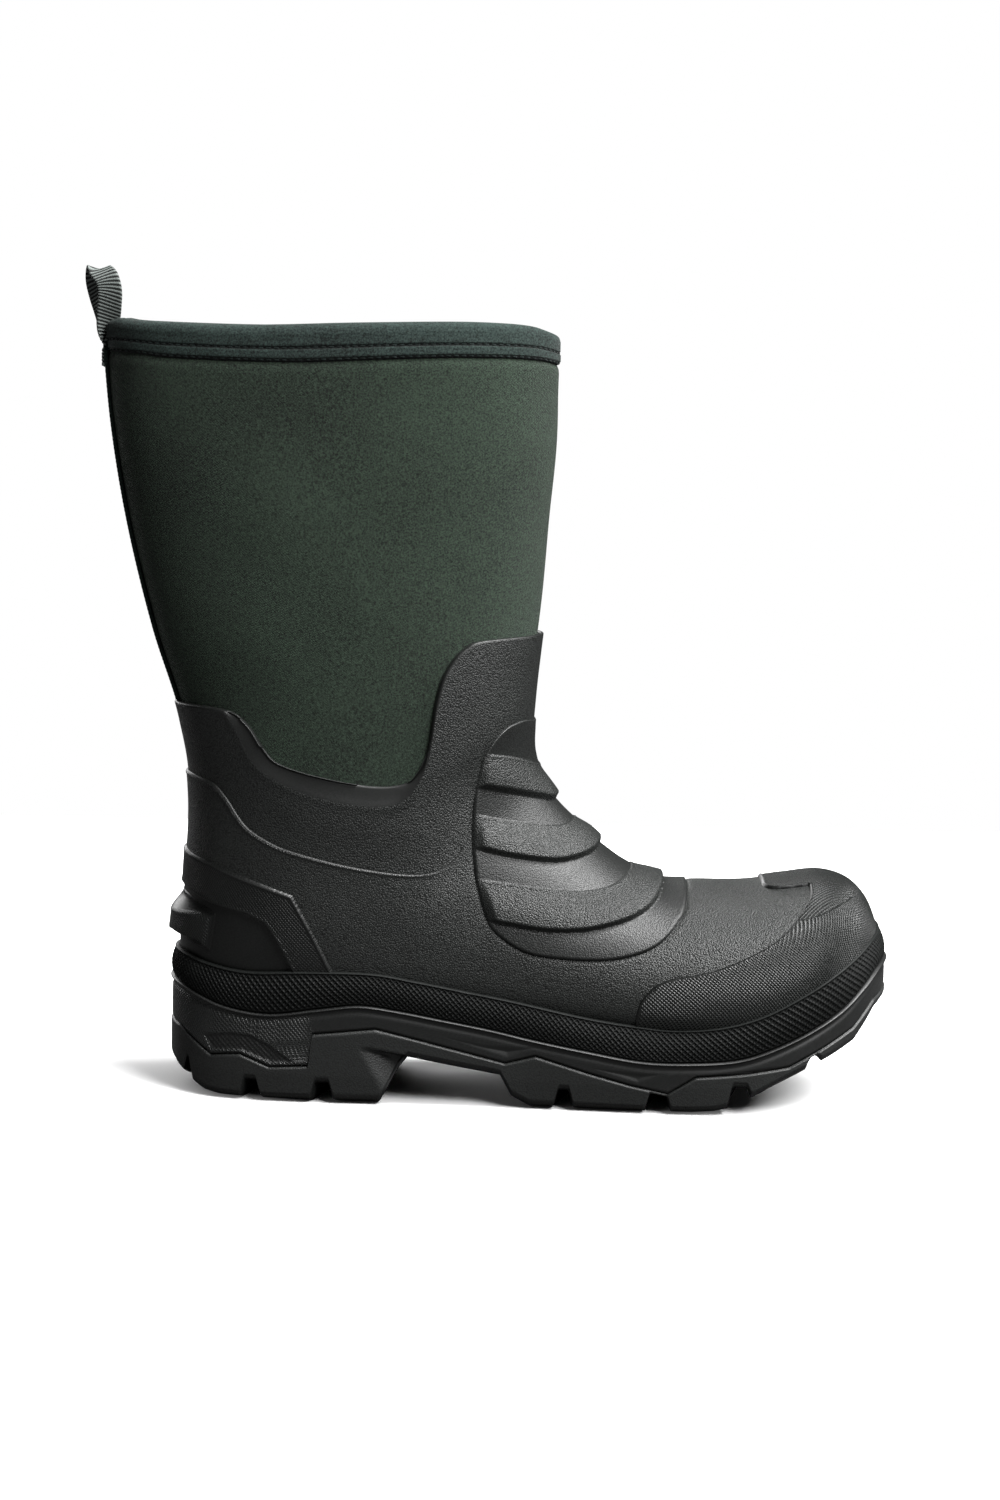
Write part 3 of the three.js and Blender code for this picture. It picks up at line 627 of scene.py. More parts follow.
def make_rubber(name, shade, gloss, grain_strength, knurl=None, net=False, specular=0.5):
    """Moulded rubber: uneven satin shine, a pebble grain where the piece asks for it, painted highlights on
    edges.

    `knurl` is the pitch in mm and the strength of a diamond net. With `net` the grain value is the tone: a
    painted shade.
    """
    material, tree, shader = start_material(name)
    coords = object_coords(tree)
    grain_and_painted_shade = attribute(tree, "grain", "Fac")
    cells = add_node(tree, "TexVoronoi", {"Vector": coords}, feature="F1", Scale=PEBBLES_PER_M)
    pebbles = cells.outputs["Distance"]
    pitted = math_node("SUBTRACT", 0.75, pebbles)
    # The tone follows the relief: painted shade in pits and between ridges, painted highlight on tops.
    if net:
        tone = grain_and_painted_shade
    else:
        if knurl:
            diamonds = diamond_lines(tree, knurl[0] * MM)
            tone = remap(diamonds, From_Min=-0.4, From_Max=1.0)
        else:
            tone = plus(pitted, times(noise(tree, coords, 1500, 2), 0.5))
        tone = times(tone, plus(times(grain_and_painted_shade, 0.6), 0.4))
    mottle = plus(times(noise(tree, coords, 28, 4), 0.3), tone)
    colour = ramp(tree, mottle, shade, 0.25, 2.65, 0.25, 1.25)
    # Convex edges get a lighter colour: a painted highlight along the moulded edges.
    edge = add_node(tree, "NewGeometry").outputs["Pointiness"]
    painted_edge_highlight = remap(edge, From_Min=0.53, From_Max=0.62, To_Max=0.5)
    colour = mix_colours(tree, painted_edge_highlight, colour, tuple(3.2 * c + 0.02 for c in shade))
    rough = remap(pebbles, From_Min=0.1, From_Max=0.7, To_Min=gloss - 0.04, To_Max=gloss + 0.12)
    normal = bump(times(pitted, grain_and_painted_shade), grain_strength, 0.0006)
    if knurl:
        normal = bump(times(diamonds, grain_and_painted_shade), knurl[1], 0.0004, under=normal)
    finish_shader(tree, shader, colour, normal, rough, Specular_IOR_Level=specular)
    return material


def make_knit(name, shade, pitch, strength):
    """Close-knit fabric: rows of small stitches, flecked colour and a soft sheen."""
    material, tree, shader = start_material(name)
    coords = object_coords(tree)
    x, y = pattern_axes(tree)
    turn = 2 * math.pi / (pitch * MM)
    columns = math_node("SINE", times(x, turn))
    rows = math_node("SINE", plus(times(y, 1.25 * turn), times(columns, 0.9)))
    fibre = noise(tree, coords, 2600, 2)
    height = plus(plus(rows, math_node("ABSOLUTE", columns)), times(fibre, 1.5))
    both = plus(times(noise(tree, coords, FLECKS_PER_M, 2, 0.7), 0.8), times(noise(tree, coords, 16, 3), 0.2))
    # The grain value scales the colour; on the binding it carries a painted shade along the seams.
    colour = ramp(tree, times(both, attribute(tree, "grain", "Fac")), shade, 0.15, 2.3, 0.36, 0.64)
    rough = remap(fibre, To_Min=0.8, To_Max=1.0)
    finish_shader(tree, shader, colour, bump(height, strength, 0.0002), rough,
                  Sheen_Weight=0.06, Sheen_Roughness=0.5, Specular_IOR_Level=0.2)
    return material


def make_ribbed_web(name, shade):
    """Ribbed webbing: light ribs with dark grooves between them, a painted shade, as the piece's grain says.
    """
    material, tree, shader = start_material(name)
    ribs = plus(attribute(tree, "grain", "Fac"), times(noise(tree, object_coords(tree), 2400, 3), 0.35))
    colour = ramp(tree, ribs, shade, 0.04, 1.0, 0.45, 1.2)
    finish_shader(tree, shader, colour, bump(ribs, 0.5, 0.0003), 0.75, Specular_IOR_Level=0.25)
    return material


def make_fleece(name, shade):
    material, tree, shader = start_material(name)
    tufts = noise(tree, object_coords(tree), 420, 6, 0.7)
    colour = ramp(tree, tufts, shade, 0.4, 1.7, 0.3, 0.7)
    finish_shader(tree, shader, colour, bump(tufts, 0.9, 0.0015), 1.0,
                  Sheen_Weight=0.35, Specular_IOR_Level=0.1)
    return material


def make_plain(name, shade, roughness, metal=0.0, scale=300.0):
    """An even finish with a little mottling, for hidden parts."""
    material, tree, shader = start_material(name)
    mottle = noise(tree, object_coords(tree), scale, 4)
    colour = ramp(tree, mottle, shade, 0.85, 1.1, 0.3, 0.7)
    finish_shader(tree, shader, colour, bump(mottle, 0.3, 0.0003), roughness, Metallic=metal)
    return material


PEBBLES_PER_M, FLECKS_PER_M = 1500.0, 1300.0
UPPER = make_rubber("upper_rubber", (0.0092, 0.0102, 0.0095), 0.37, 0.55, specular=0.38)
KNURLED = make_rubber("knurled_rubber", (0.0050, 0.0056, 0.0052), 0.28, 0.0, (1.7, 0.6), specular=0.38)
RAND_RUBBER = make_rubber("rand_rubber", (0.0036, 0.0040, 0.0038), 0.5, 0.0, net=True, specular=0.12)
SOLE = make_rubber("sole_rubber", (0.0058, 0.0065, 0.0061), 0.42, 0.0, (1.9, 0.5))
GRIP = make_rubber("grip_rubber", (0.0058, 0.0065, 0.0061), 0.46, 0.2)
NEOPRENE = make_knit("neoprene_knit", (0.0158, 0.0260, 0.0170), 0.8, 0.8)
BINDING = make_knit("binding_knit", (0.0125, 0.0205, 0.0180), 0.7, 0.5)
RIBBED_WEB = make_ribbed_web("ribbed_webbing", (0.17, 0.19, 0.18))
WEBBING = make_knit("webbing_weave", (0.012, 0.020, 0.017), 0.6, 0.4)
THREAD = make_knit("stitch_thread", (0.006, 0.010, 0.009), 0.4, 0.3)
FLEECE = make_fleece("fleece_pile", (0.035, 0.036, 0.034))
WADDING = make_fleece("insulation_wadding", (0.35, 0.34, 0.31))
BOARD = make_plain("fibreboard", (0.25, 0.18, 0.10), 0.9)
FOAM = make_plain("footbed_foam", (0.06, 0.065, 0.062), 0.95, scale=900.0)
STEEL = make_plain("shank_steel", (0.45, 0.46, 0.47), 0.35, 1.0)


# ================================================================ leg
def leg_wave(line, around):
    """A wave of the leg's top edge, in sections for each column."""
    x = boot_surface(TOP, around, 0.0)[:, 0]
    return height_of(smooth_line(line), x) * SECTIONS_PER_MM


def make_leg():
    around = even_columns(360)
    top = section_of_height(LEG_TOP) + leg_wave(TOP_WAVE, around)

    def soft(grid, offset):
        z = grid[..., 2]
        pinch = LEG_PINCH * ease(315.5, 320.5, z - grid_wave(grid)) * (offset > -2)
        return 0.35 * ripple(grid, 60, 1) * ease(160, 230, z) * ease(330, 300, z) - pinch

    rows = [(s, NEOPRENE_OUT) for s in spaced(LEG_START + 0.02, top - 0.03, 170)]
    rows += [(top - 0.01, -0.3), (top, -1.2), (top, -2.8), (top - 0.01, -3.7)]
    rows += [(s, NEOPRENE_IN) for s in spaced(top - 0.03, LEG_START + 0.02, 70)]
    leg = layer("leg_neoprene", rows, around, NEOPRENE, wrap_rows=True, bumps=soft)
    stand_for(leg, "neoprene_leg")

    rows = [(s, LEG_LINING_OUT) for s in spaced(LEG_START + 0.02, top, 60)]
    rows += [(s, LEG_LINING_IN) for s in spaced(top, LEG_START + 0.02, 140)]
    pile = lambda grid, offset: 0.35 * ripple(grid, 5, 2) * (offset < LEG_LINING_OUT - 0.5)
    lining = layer("leg_fleece", rows, around, FLEECE, wrap_rows=True, bumps=pile)
    stand_for(lining, "leg_lining")


def grid_wave(grid):
    return height_of(FOOT_WAVE, grid[..., 0])


def make_binding():
    """The folded binding over the leg's raw edge, with its two rows of stitching."""
    around = even_columns(480)
    foot_wave, top_wave = leg_wave(FOOT_WAVE, around), leg_wave(TOP_WAVE, around)
    tall = BINDING_TOP - BINDING_FOOT
    at = lambda height: section_of_height(BINDING_FOOT + height) + mix(foot_wave, top_wave, height / tall)
    middle = (BINDING_OUT + BINDING_IN) / 2
    fold = (BINDING_OUT - BINDING_IN) / 2
    rows = [(at(0), -0.9), (at(0.5), BINDING_OUT - 0.35)]
    # shade holds each row's colour: darker at the lower edge, and a painted shade in the stitch grooves.
    shade = [0.3, 0.6]
    for height in np.linspace(1.0, tall - 4.0, 30):
        seam = min(abs(height - SEAM_HEIGHTS[0]), abs(height - SEAM_HEIGHTS[1]))
        between = SEAM_HEIGHTS[0] < height < SEAM_HEIGHTS[1]
        puff = BINDING_OUT + (0.35 if between else 0.2) - groove(seam, 0.8, 0.5)
        rows.append((at(height), puff))
        shade.append(1 - groove(seam, 0.9, 0.45))
    for turn in np.linspace(0.1, math.pi - 0.1, 16):
        rows.append((at(tall - fold * (1 - math.sin(turn))), middle + fold * math.cos(turn)))
    for height in np.linspace(11.0, 0.5, 8):
        rows.append((at(height), BINDING_IN))
    rows += [(at(height), BINDING_IN + BINDING_CLOTH) for height in np.linspace(0.4, 10.5, 8)]
    bend = fold - BINDING_CLOTH
    for turn in np.linspace(math.pi - 0.1, 0.1, 12):
        rows.append((at(tall - BINDING_CLOTH - bend * (1 - math.sin(turn))), middle + bend * math.cos(turn)))
    rows += [(at(height), BINDING_OUT - BINDING_CLOTH - 0.1) for height in np.linspace(tall - 5.0, 0.4, 12)]
    shade += [1.0] * (len(rows) - len(shade))
    wave = lambda grid, offset: 0.12 * ripple(grid, 14, 3)
    binding = layer("top_binding_knit", rows, around, BINDING, wrap_rows=True, bumps=wave,
                    grain=lambda grid: np.array(shade)[:, None])
    stand_for(binding, "top_binding", "leg")
    fine = np.linspace(0, 1, 4001)
    low, high = leg_wave(FOOT_WAVE, fine), leg_wave(TOP_WAVE, fine)
    make_stitches("binding_stitches", fine, BINDING_OUT - 0.45,
                  [section_of_height(BINDING_FOOT + h) + mix(low, high, h / tall) for h in SEAM_HEIGHTS])


def make_stitches(name, around, offset, sections):
    """Rows of thread round the leg, one short rounded stitch after another."""
    points, faces = [], []
    for s in sections:
        path = boot_surface(s, around, offset)
        length = np.concatenate([[0], np.cumsum(np.linalg.norm(np.diff(path, axis=0), axis=1))])
        count = int(length[-1] / 3.3)
        for step in range(count):
            add_stitch(points, faces, path, length, (step + 0.15) * length[-1] / count, 2.4)
    stitches = add_mesh(name, np.array(points), faces, THREAD, {
        "pattern": np.array(points) * MM, "grain": np.ones(len(points))})
    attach(stitches, "leg")


def add_stitch(points, faces, path, length, start, reach, radius=0.42):
    """One stitch lying along a path: a small spindle that dips in at both ends."""
    sides = 6
    first = len(points)
    shares = (0.0, 0.15, 0.5, 0.85, 1.0)
    for share in shares:
        at = start + share * reach
        centre = np.array([np.interp(at, length, path[:, k]) for k in range(3)])
        ahead = np.array([np.interp(at + 0.5, length, path[:, k]) for k in range(3)])
        along = (ahead - centre) / np.linalg.norm(ahead - centre)
        out = np.cross(along, (0, 0, 1))
        out *= -1 if out @ (centre - np.array([-70, 0, centre[2]])) < 0 else 1
        up = np.cross(out, along)
        size = radius * (0.35 if share in (0.0, 1.0) else 1.0)
        lift = -0.35 if share in (0.0, 1.0) else 0.12
        for side in range(sides):
            turn = 2 * math.pi * side / sides
            points.append(centre + out * (lift + size * math.cos(turn)) + up * size * math.sin(turn))
    for k in range(len(shares) - 1):
        for side in range(sides):
            a, b = first + k * sides + side, first + k * sides + (side + 1) % sides
            faces.append((a, b, b + sides, a + sides))
    faces.append(tuple(first + side for side in range(sides))[::-1])
    faces.append(tuple(first + (len(shares) - 1) * sides + side for side in range(sides)))


def make_back_tape(name, node, layer_in, layer_out, material):
    """A tape along the seam at the back of the leg."""
    s = np.linspace(section_of_z_at_back(TAPE_ENDS[0]), section_of_height(TAPE_ENDS[1]), 260)
    outline = [(-6.2, layer_in), (-6.2, layer_out - 0.4), (-5.6, layer_out)]
    outline += [(y, layer_out) for y in (-4.6, -3.8, -2, 0, 2, 3.8, 4.6)]
    outline += [(5.6, layer_out), (6.2, layer_out - 0.4), (6.2, layer_in)]
    grid = np.zeros((len(s), len(outline), 3))
    for column, (y, out) in enumerate(outline):
        stitched = groove(abs(y) - 4.6, -0.25, 0.4)
        shift = out + stitched + 0.06 * np.sin(np.arange(len(s)) * 1.9)
        edge = boot_surface(s, 0.5 - y / 560, shift)
        grid[:, column] = edge
        grid[:, column, 1] = y
    tape = grid_piece(name, grid, material, wrap_columns=True, closed_ends=True, turned=True)
    stand_for(tape, node)


def section_of_z_at_back(z):
    rows = np.linspace(LEG_START, TOP, 600)
    return float(np.interp(z, boot_surface(rows, 0.5, 0.0)[:, 2], rows))


# ================================================================ rubber upper
def line_columns(line, count, offset):
    """Columns evenly spaced along the edge that a side-view line cuts on the boot."""
    fine = even_columns(1200)
    path = boot_surface(sections_at(line, fine), fine, offset)
    steps = np.linalg.norm(np.diff(np.vstack([path, path[:1]]), axis=0), axis=1)
    length = np.concatenate([[0], np.cumsum(steps)])
    return np.interp(np.linspace(0, length[-1], count, endpoint=False), length, np.append(fine, 1.0))


def sections_per_mm(edge, around, offset):
    """How far the section number changes for each mm away from an edge, measured square to it."""
    ahead = boot_surface(edge + 0.01, around, offset)
    behind = boot_surface(edge - 0.01, around, offset)
    climb = (ahead - behind) / 0.02
    path = boot_surface(edge, around, offset)
    along = np.roll(path, -1, axis=0) - np.roll(path, 1, axis=0)
    along /= np.linalg.norm(along, axis=1, keepdims=True) + 1e-9
    square = climb - (climb * along).sum(1, keepdims=True) * along
    return 1 / np.clip(np.linalg.norm(square, axis=1), 2.0, None)


def edged_layer(name, line, columns, row_counts, hidden_below, outside, inside, radius, material):
    """A cup-shaped layer with a rounded upper edge along a side-view line.

    `outside` gives the outer offset and grain for the points under it. Rows up to `hidden_below`
    sections under the edge are sparse.
    """
    around = line_columns(line, columns, OVERLAY_OUT)
    edge = sections_at(line, around)
    per_mm = sections_per_mm(edge, around, OVERLAY_OUT)
    hidden = np.maximum(edge - hidden_below, 0.5)
    steps = np.array([2.6, 2.0, 1.5, 1.1, 0.8, 0.55, 0.35, 0.2, 0.08, 0.0])
    rows = spaced(0.0 * edge, hidden, row_counts[0]) + spaced(hidden, edge - 3.2 * per_mm, row_counts[1])[1:]
    drop = [None] * len(rows) + list(steps)
    rows += [edge - step * per_mm for step in steps]
    s = np.array(rows)
    ground = boot_surface(s, around[None, :], SHELL_OUT)
    offset, grain = outside(ground)
    for row, step in enumerate(drop):
        if step is not None and step < radius:
            offset[row] -= radius - math.sqrt(radius ** 2 - (radius - step) ** 2)
            grain[row] *= 0.2
    inner_rows = spaced(edge, 0.0 * edge, row_counts[2])
    s = np.vstack([s, inner_rows])
    offset = np.vstack([offset, np.full((len(inner_rows), len(around)), inside)])
    grain = np.vstack([grain, np.zeros((len(inner_rows), len(around)))])
    grid = boot_surface(s, around[None, :], offset)
    return grid_piece(name, grid, material, closed_ends=True, turned=True, grain=grain)


def make_shell():
    """The rubber bootee, with the smooth sloping band under its collar."""
    collar, crease = smooth_line(COLLAR_LINE), smooth_line(COLLAR_CREASE)
    ankle = smooth_line(ANKLE_LINE)
    part_of_collar = collar[(collar[:, 0] > crease[0, 0]) & (collar[:, 0] < crease[-1, 0])]
    band = np.vstack([crease, part_of_collar[::-1]])

    def outside(points):
        shown = ease(-2.5, 0.5, above_distance(points, ankle))
        from_crease = line_distance(points, crease)
        from_edge = line_distance(points, part_of_collar)
        in_band = outline_distance(points, band)
        slope = np.where(in_band > 0, from_crease / (from_crease + from_edge + 1e-6), 0)
        plump = mix(SHELL_RIM, SHELL_PLUMP, ease(0, 22, above_distance(points, ankle)))
        offset = mix(SHELL_OUT - 0.1, plump, shown) + groove(from_crease, 0.25 * shown, 2.5)
        return offset - 1.7 * slope, 1 - ease(-0.6, 0.6, in_band)

    shell = edged_layer("shell_rubber", COLLAR_LINE, 640, (36, 130, 60), 4.2, outside, SHELL_IN, 0.9, UPPER)
    stand_for(shell, "rubber_shell")


def make_overlay():
    """The foot overlay: its upper edge fades out beside the instep guard."""
    ankle = smooth_line(ANKLE_LINE)
    guard = closed_curve(GUARD_OUTLINE, 160)
    heel_panel = [(-150, 90), (-119, 87.5), (-105, 82), (-92, 76), (-87.5, 66), (-82, 54), (-150, 54)]

    def outside(points):
        from_edge = line_distance(points, ankle)
        fade = ease(-26, -12, points[..., 0]) * ease(16, 2, from_edge) * (points[..., 0] < 30)
        guard_groove = groove(outline_distance(points, guard), 0.7, 1.1)
        panel = ease(-0.5, 1.5, outline_distance(points, heel_panel))
        bead = groove(from_edge - 0.9, 0.3, 0.6) * ease(-20, -26, points[..., 0])
        offset = OVERLAY_OUT + bead - 0.75 * fade - guard_groove - 0.5 * panel
        return offset, 1 - panel

    overlay = edged_layer("overlay_rubber", ANKLE_LINE, 620, (2, 230, 60), 14.0, outside, OVERLAY_IN, 0.6,
                          UPPER)
    stand_for(overlay, "foot_overlay")


def raised(distance, height, radius=0.6):
    """A moulded step: up to `height` inside an outline with a rounded rim, and sunk outside it."""
    t = np.clip(distance / radius, 0, 1)
    return np.where(distance > 0, height * np.sqrt(1 - (1 - t) ** 2), np.maximum(1.6 * distance, -1.0))


def make_guard():
    """The instep guard: three overhanging ribs across a plate."""
    outline = closed_curve(GUARD_OUTLINE, 240)
    ribs = [(smooth_line(upper), smooth_line(lower)) for upper, lower in GUARD_RIBS]

    def height(points):
        from_rim = along_surface(outline_distance(points, outline), points)
        plate = np.full(from_rim.shape, 0.85)
        bulge = np.zeros(from_rim.shape)
        grain = np.full(from_rim.shape, 0.4)
        for upper, lower in ribs:
            under_upper = -above_distance(points, upper)
            over_lower = above_distance(points, lower)
            below = np.maximum(-over_lower, 0)
            plate -= np.where(over_lower < 0, 0.6 * np.exp(-below / 4.5), 0)
            inside = (under_upper > 0) & (over_lower > 0)
            share = np.clip(under_upper, 0, None) / (np.abs(under_upper) + np.abs(over_lower) + 1e-6)
            lip = along_surface(over_lower, points)
            brow = along_surface(under_upper, points)
            swell = 0.35 * ease(0, 0.6, brow) + groove(brow - 0.6, 0.25, 0.5)
            swell += 2.1 * np.sin(0.5 * math.pi * np.clip(share / 0.85, 0, 1)) ** 1.2
            rounded = np.sqrt(1 - (1 - np.clip(lip / 1.1, 0, 1)) ** 2)
            bulge = np.where(inside, swell * rounded, bulge)
            grain = np.where(inside, 1.0, grain)
        bulge *= ease(0.0, 4.0, from_rim)
        return raised(from_rim, plate, 0.9) + bulge, grain

    guard = relief("instep_guard_rubber", (6.2, 15.9), (-0.27, 0.27), 0.47, height, UPPER)
    stand_for(guard, "instep_guard")


def make_toe_cap():
    start, end, half_width, corner = TOE_TAB

    def height(points):
        x, y, z = points[..., 0], points[..., 1], points[..., 2]
        side = outline_distance(points, smooth_line(TOE_CAP_OUTLINE))
        beyond_x = np.maximum(start + corner - x, 0)
        beyond_y = np.maximum(np.abs(y - 6.5) - half_width + corner, 0)
        tab = np.where((z > 80) & (x < end), corner - np.hypot(beyond_x, beyond_y), -9.0)
        rim = np.maximum(along_surface(side, points), tab)
        bead = groove(rim - 0.8, 0.3, 0.5)
        return np.where(z > 20, raised(rim, 1.15, 0.6) + bead, -1.0), ease(0.9, 1.6, rim)

    cap = relief("toe_cap_rubber", (0.0, 8.6), (-0.44, 0.44), 0.6, height, KNURLED)
    stand_for(cap, "toe_cap", "foot")


def make_counter():
    """The heel counter's strap, wrapped round the heel."""
    outline = np.array(COUNTER_OUTLINE, float)

    def height(points):
        rim = along_surface(outline_distance(points, outline), points)
        bead = groove(rim - 0.7, 0.4, 0.45)
        return raised(rim, 1.1, 0.5) + bead, 0.5 * ease(0.9, 1.5, rim)

    counter = relief("heel_counter_rubber", (10.2, 16.0), (0.22, 0.78), 0.55, height, KNURLED)
    stand_for(counter, "heel_counter", "foot")


KICK_START, KICK_RUN = -118.0, 20.0     # the wedge grows backwards from this x over this length
KICK_REST, KICK_DEPTH = 0.3, 6.3        # its thickness in front, and what it grows by


def make_kick():
    """The kick-off wedge at the back of the heel: a sloping top face over a knurled side."""
    top, foot = smooth_line(KICK_TOP), smooth_line(KICK_FOOT)
    outline = np.vstack([top, foot[::-1]])

    def height(points):
        wedge = KICK_REST + KICK_DEPTH * np.clip((KICK_START - points[..., 0]) / KICK_RUN, 0, 1)
        from_top = -above_distance(points, top)
        from_foot = above_distance(points, foot)
        end = along_surface(outline_distance(points, outline), points)
        slope = np.clip(from_top / (0.25 + 1.0 * wedge), 0, 1)
        under = np.sqrt(1 - (1 - np.clip(from_foot / (0.5 + 0.4 * wedge), 0, 1)) ** 2)
        ridge = groove(from_top - 1.05 * wedge - 0.6, 0.35, 0.6) * ease(-119, -125, points[..., 0])
        rise = (wedge + ridge) * np.minimum(slope, under) * ease(0, 5.0, end)
        grain = ease(0.95, 1.0, slope) * ease(0.9, 1.0, under) * 0.6 * ease(1.2, 3.0, end)
        return np.where(end > 0, rise, np.maximum(1.6 * end, -1.0)), grain

    kick = relief("heel_kick_rubber", (12.9, 15.3), (0.36, 0.64), 0.42, height, KNURLED)
    stand_for(kick, "heel_kick", "foot")


# ================================================================ sole
SPINE_ENDS, SPINE_Y = (-96, 128), 2.0    # the middle line of the sole: its ends in x and its y


def footprint_columns(count):
    """Evenly spaced points round the footprint and the directions out of it."""
    points = closed_curve(FOOTPRINT, count)
    along = np.roll(points, -2, axis=0) - np.roll(points, 2, axis=0)
    along /= np.linalg.norm(along, axis=1, keepdims=True)
    return points, np.stack([along[:, 1] * -1, along[:, 0]], 1) * -1


def wall_row(points, out, inset, z):
    plan = points - out * np.asarray(inset).reshape(-1, 1)
    return np.column_stack([plan, np.broadcast_to(z, len(points))])


def spine_row(points, z_line, share=1.0):
    """A row on the way from the footprint to the middle line of the sole."""
    spine = np.column_stack([np.clip(points[:, 0], *SPINE_ENDS), np.full(len(points), SPINE_Y)])
    plan = mix(points, spine, share)
    return np.column_stack([plan, z_line(plan)])


def diamond_net(u, v, pitch):
    """A net of narrow ridges along both diagonals, from 0 in the pits to 1 on the ridges."""
    ridges = [1 - np.abs(np.sin(math.pi * (u + sign * v) / pitch)) for sign in (1, -1)]
    return np.maximum(*ridges) ** 1.2


def make_rand():
    """The knurled rand round the foot, from the midsole's lip to its thin upper bead."""
    points, out = footprint_columns(2300)
    top_line, bottom_line = smooth_line(RAND_TOP), smooth_line(RAND_BOTTOM)
    cloud = points_near_line(top_line, (0.05, 14.5, 700), 1400, OVERLAY_OUT + 1.1, 0.35)
    inward = np.empty(len(points))
    for column, (point, direction) in enumerate(zip(points, out)):
        offset = cloud - point
        aside = offset @ np.array([-direction[1], direction[0]])
        depth = -(offset @ direction)
        near = (np.abs(aside) < 2.0) & (depth < 40) & (depth > -8)
        inward[column] = np.min(depth[near]) if near.any() else np.nan
    known = ~np.isnan(inward)
    inward = np.interp(np.arange(len(points)), np.nonzero(known)[0], inward[known], period=len(points))
    kernel = np.hanning(41) / np.hanning(41).sum()
    inward = np.convolve(np.concatenate([inward[-20:], inward, inward[:20]]), kernel, "valid")
    inward = np.maximum(inward, 1.0)

    foot_x = points[:, 0]
    low = height_of(bottom_line, foot_x) + 0.35
    head = points - out * inward[:, None]
    high = height_of(top_line, head[:, 0])
    length = np.arange(len(points)) * np.linalg.norm(points[1] - points[0])
    turns = round(length[-1] / KNURL_PITCH)
    run = length * turns * KNURL_PITCH / (length[-1] + length[1])
    rows = [wall_row(points, out, inset, low + lift) for inset, lift in ((9.0, 0), (2.0, 0), (1.2, 0.2))]
    # Each row's colour tone: painted shade in the net's pits, painted highlight on its ridges and top bead.
    painted_net_shade = [0.3, 0.3, 0.3]
    for share in np.linspace(0.03, 0.98, 54):
        z = mix(low, high, share)
        band = RAND_WIDTH * share
        shown = ease(0.05, 0.09, share) * ease(0.94, 0.90, share)
        bead = groove(share - 0.965, 0.7, 0.025)
        net = diamond_net(run, band, KNURL_PITCH)
        bulge = 1.3 * math.sin(math.pi * share) + bead + 0.95 * shown * (net - 0.55)
        painted_net_shade.append(mix(0.5 + 1.2 * bead, net ** 1.5, shown))
        rows.append(wall_row(points, out, mix(1.0, inward, share) - bulge, z))
    rows.append(wall_row(points, out, inward + 0.5, high + 0.25))
    rows.append(wall_row(points, out, inward + 1.3, high - 0.1))
    rows.append(wall_row(points, out, inward + 5.0, high - 2.5))
    painted_net_shade += [0.5, 0.3, 0.3]
    tone = np.array([np.broadcast_to(net, len(points)) for net in painted_net_shade])
    rand = grid_piece("rand_knurled", np.array(rows), RAND_RUBBER, wrap_rows=True, turned=True, grain=tone)
    stand_for(rand, "rand", "foot")


MIDSOLE_PATCH = [
    (-122, 27), (-111, 29), (-101.5, 28.5), (-94, 25), (-86, 19.5), (-82, 17.4), (-92, 16.8),
    (-105, 21.8), (-112, 21.3), (-119, 21),
]
MIDSOLE_FACET = [(-20, 31), (0, 27.5), (24, 27), (10, 22)]
MIDSOLE_FORE_FACETS = [[(46, 19), (76, 17.5), (66, 13.5)], [(100, 18.5), (128, 22), (116, 18.5)]]


def make_midsole():
    points, out = footprint_columns(1500)
    x = points[:, 0]
    low = height_of(OUTSOLE_TOP, x) + 0.3
    high = height_of(smooth_line(RAND_BOTTOM), x)
    well = height_of(WELL_FLOOR, x) + 0.35
    rows = [spine_row(points, lambda plan: height_of(WELL_FLOOR, plan[:, 0]) + 0.35)]
    rows += [wall_row(points, out, inset, z) for inset, z in (
        (6.35, well), (6.35, low), (1.6, low), (0.95, low + 0.12))]
    hatch = [0.0] * len(rows)
    for share in np.linspace(0.02, 1.0, 44):
        z = mix(low, high, share)
        wall = np.column_stack([x, points[:, 1], z])
        patch = ease(-0.4, 0.8, outline_distance(wall, MIDSOLE_PATCH))
        facets = 0.9 * ease(-0.3, 3.5, outline_distance(wall, MIDSOLE_FACET))
        for outline in MIDSOLE_FORE_FACETS:
            facets = facets + 0.6 * ease(-0.3, 2.0, outline_distance(wall, outline))
        from_lip = high - z
        lip = groove(from_lip - 0.6, -0.95, 0.5)
        cove = groove(from_lip - 2.6, 0.55, 1.3)
        joint = groove(z - low, 0.75, 0.45)
        lattice = diamond_net(x, z, 2.3)
        inset = 0.45 + patch * (1.1 - 0.75 * lattice) + facets + lip + cove + joint
        rows.append(wall_row(points, out, inset, z))
        hatch.append(ease(-72, -80, x) * (1 - patch) * ease(0.8, 1.6, from_lip))
    rows += [wall_row(points, out, 1.6, high + 0.25), wall_row(points, out, 12.0, high + 0.2)]
    rows.append(spine_row(points, lambda plan: height_of(RAND_BOTTOM, plan[:, 0])))
    hatch += [0.0] * 3
    grain = np.array([np.broadcast_to(value, len(points)) for value in hatch])
    midsole = grid_piece("midsole_rubber", np.array(rows), SOLE, turned=True, grain=grain)
    stand_for(midsole, "midsole", "foot")


CHANNEL_HALF, CHANNEL_TOP = 4.0, 6.0


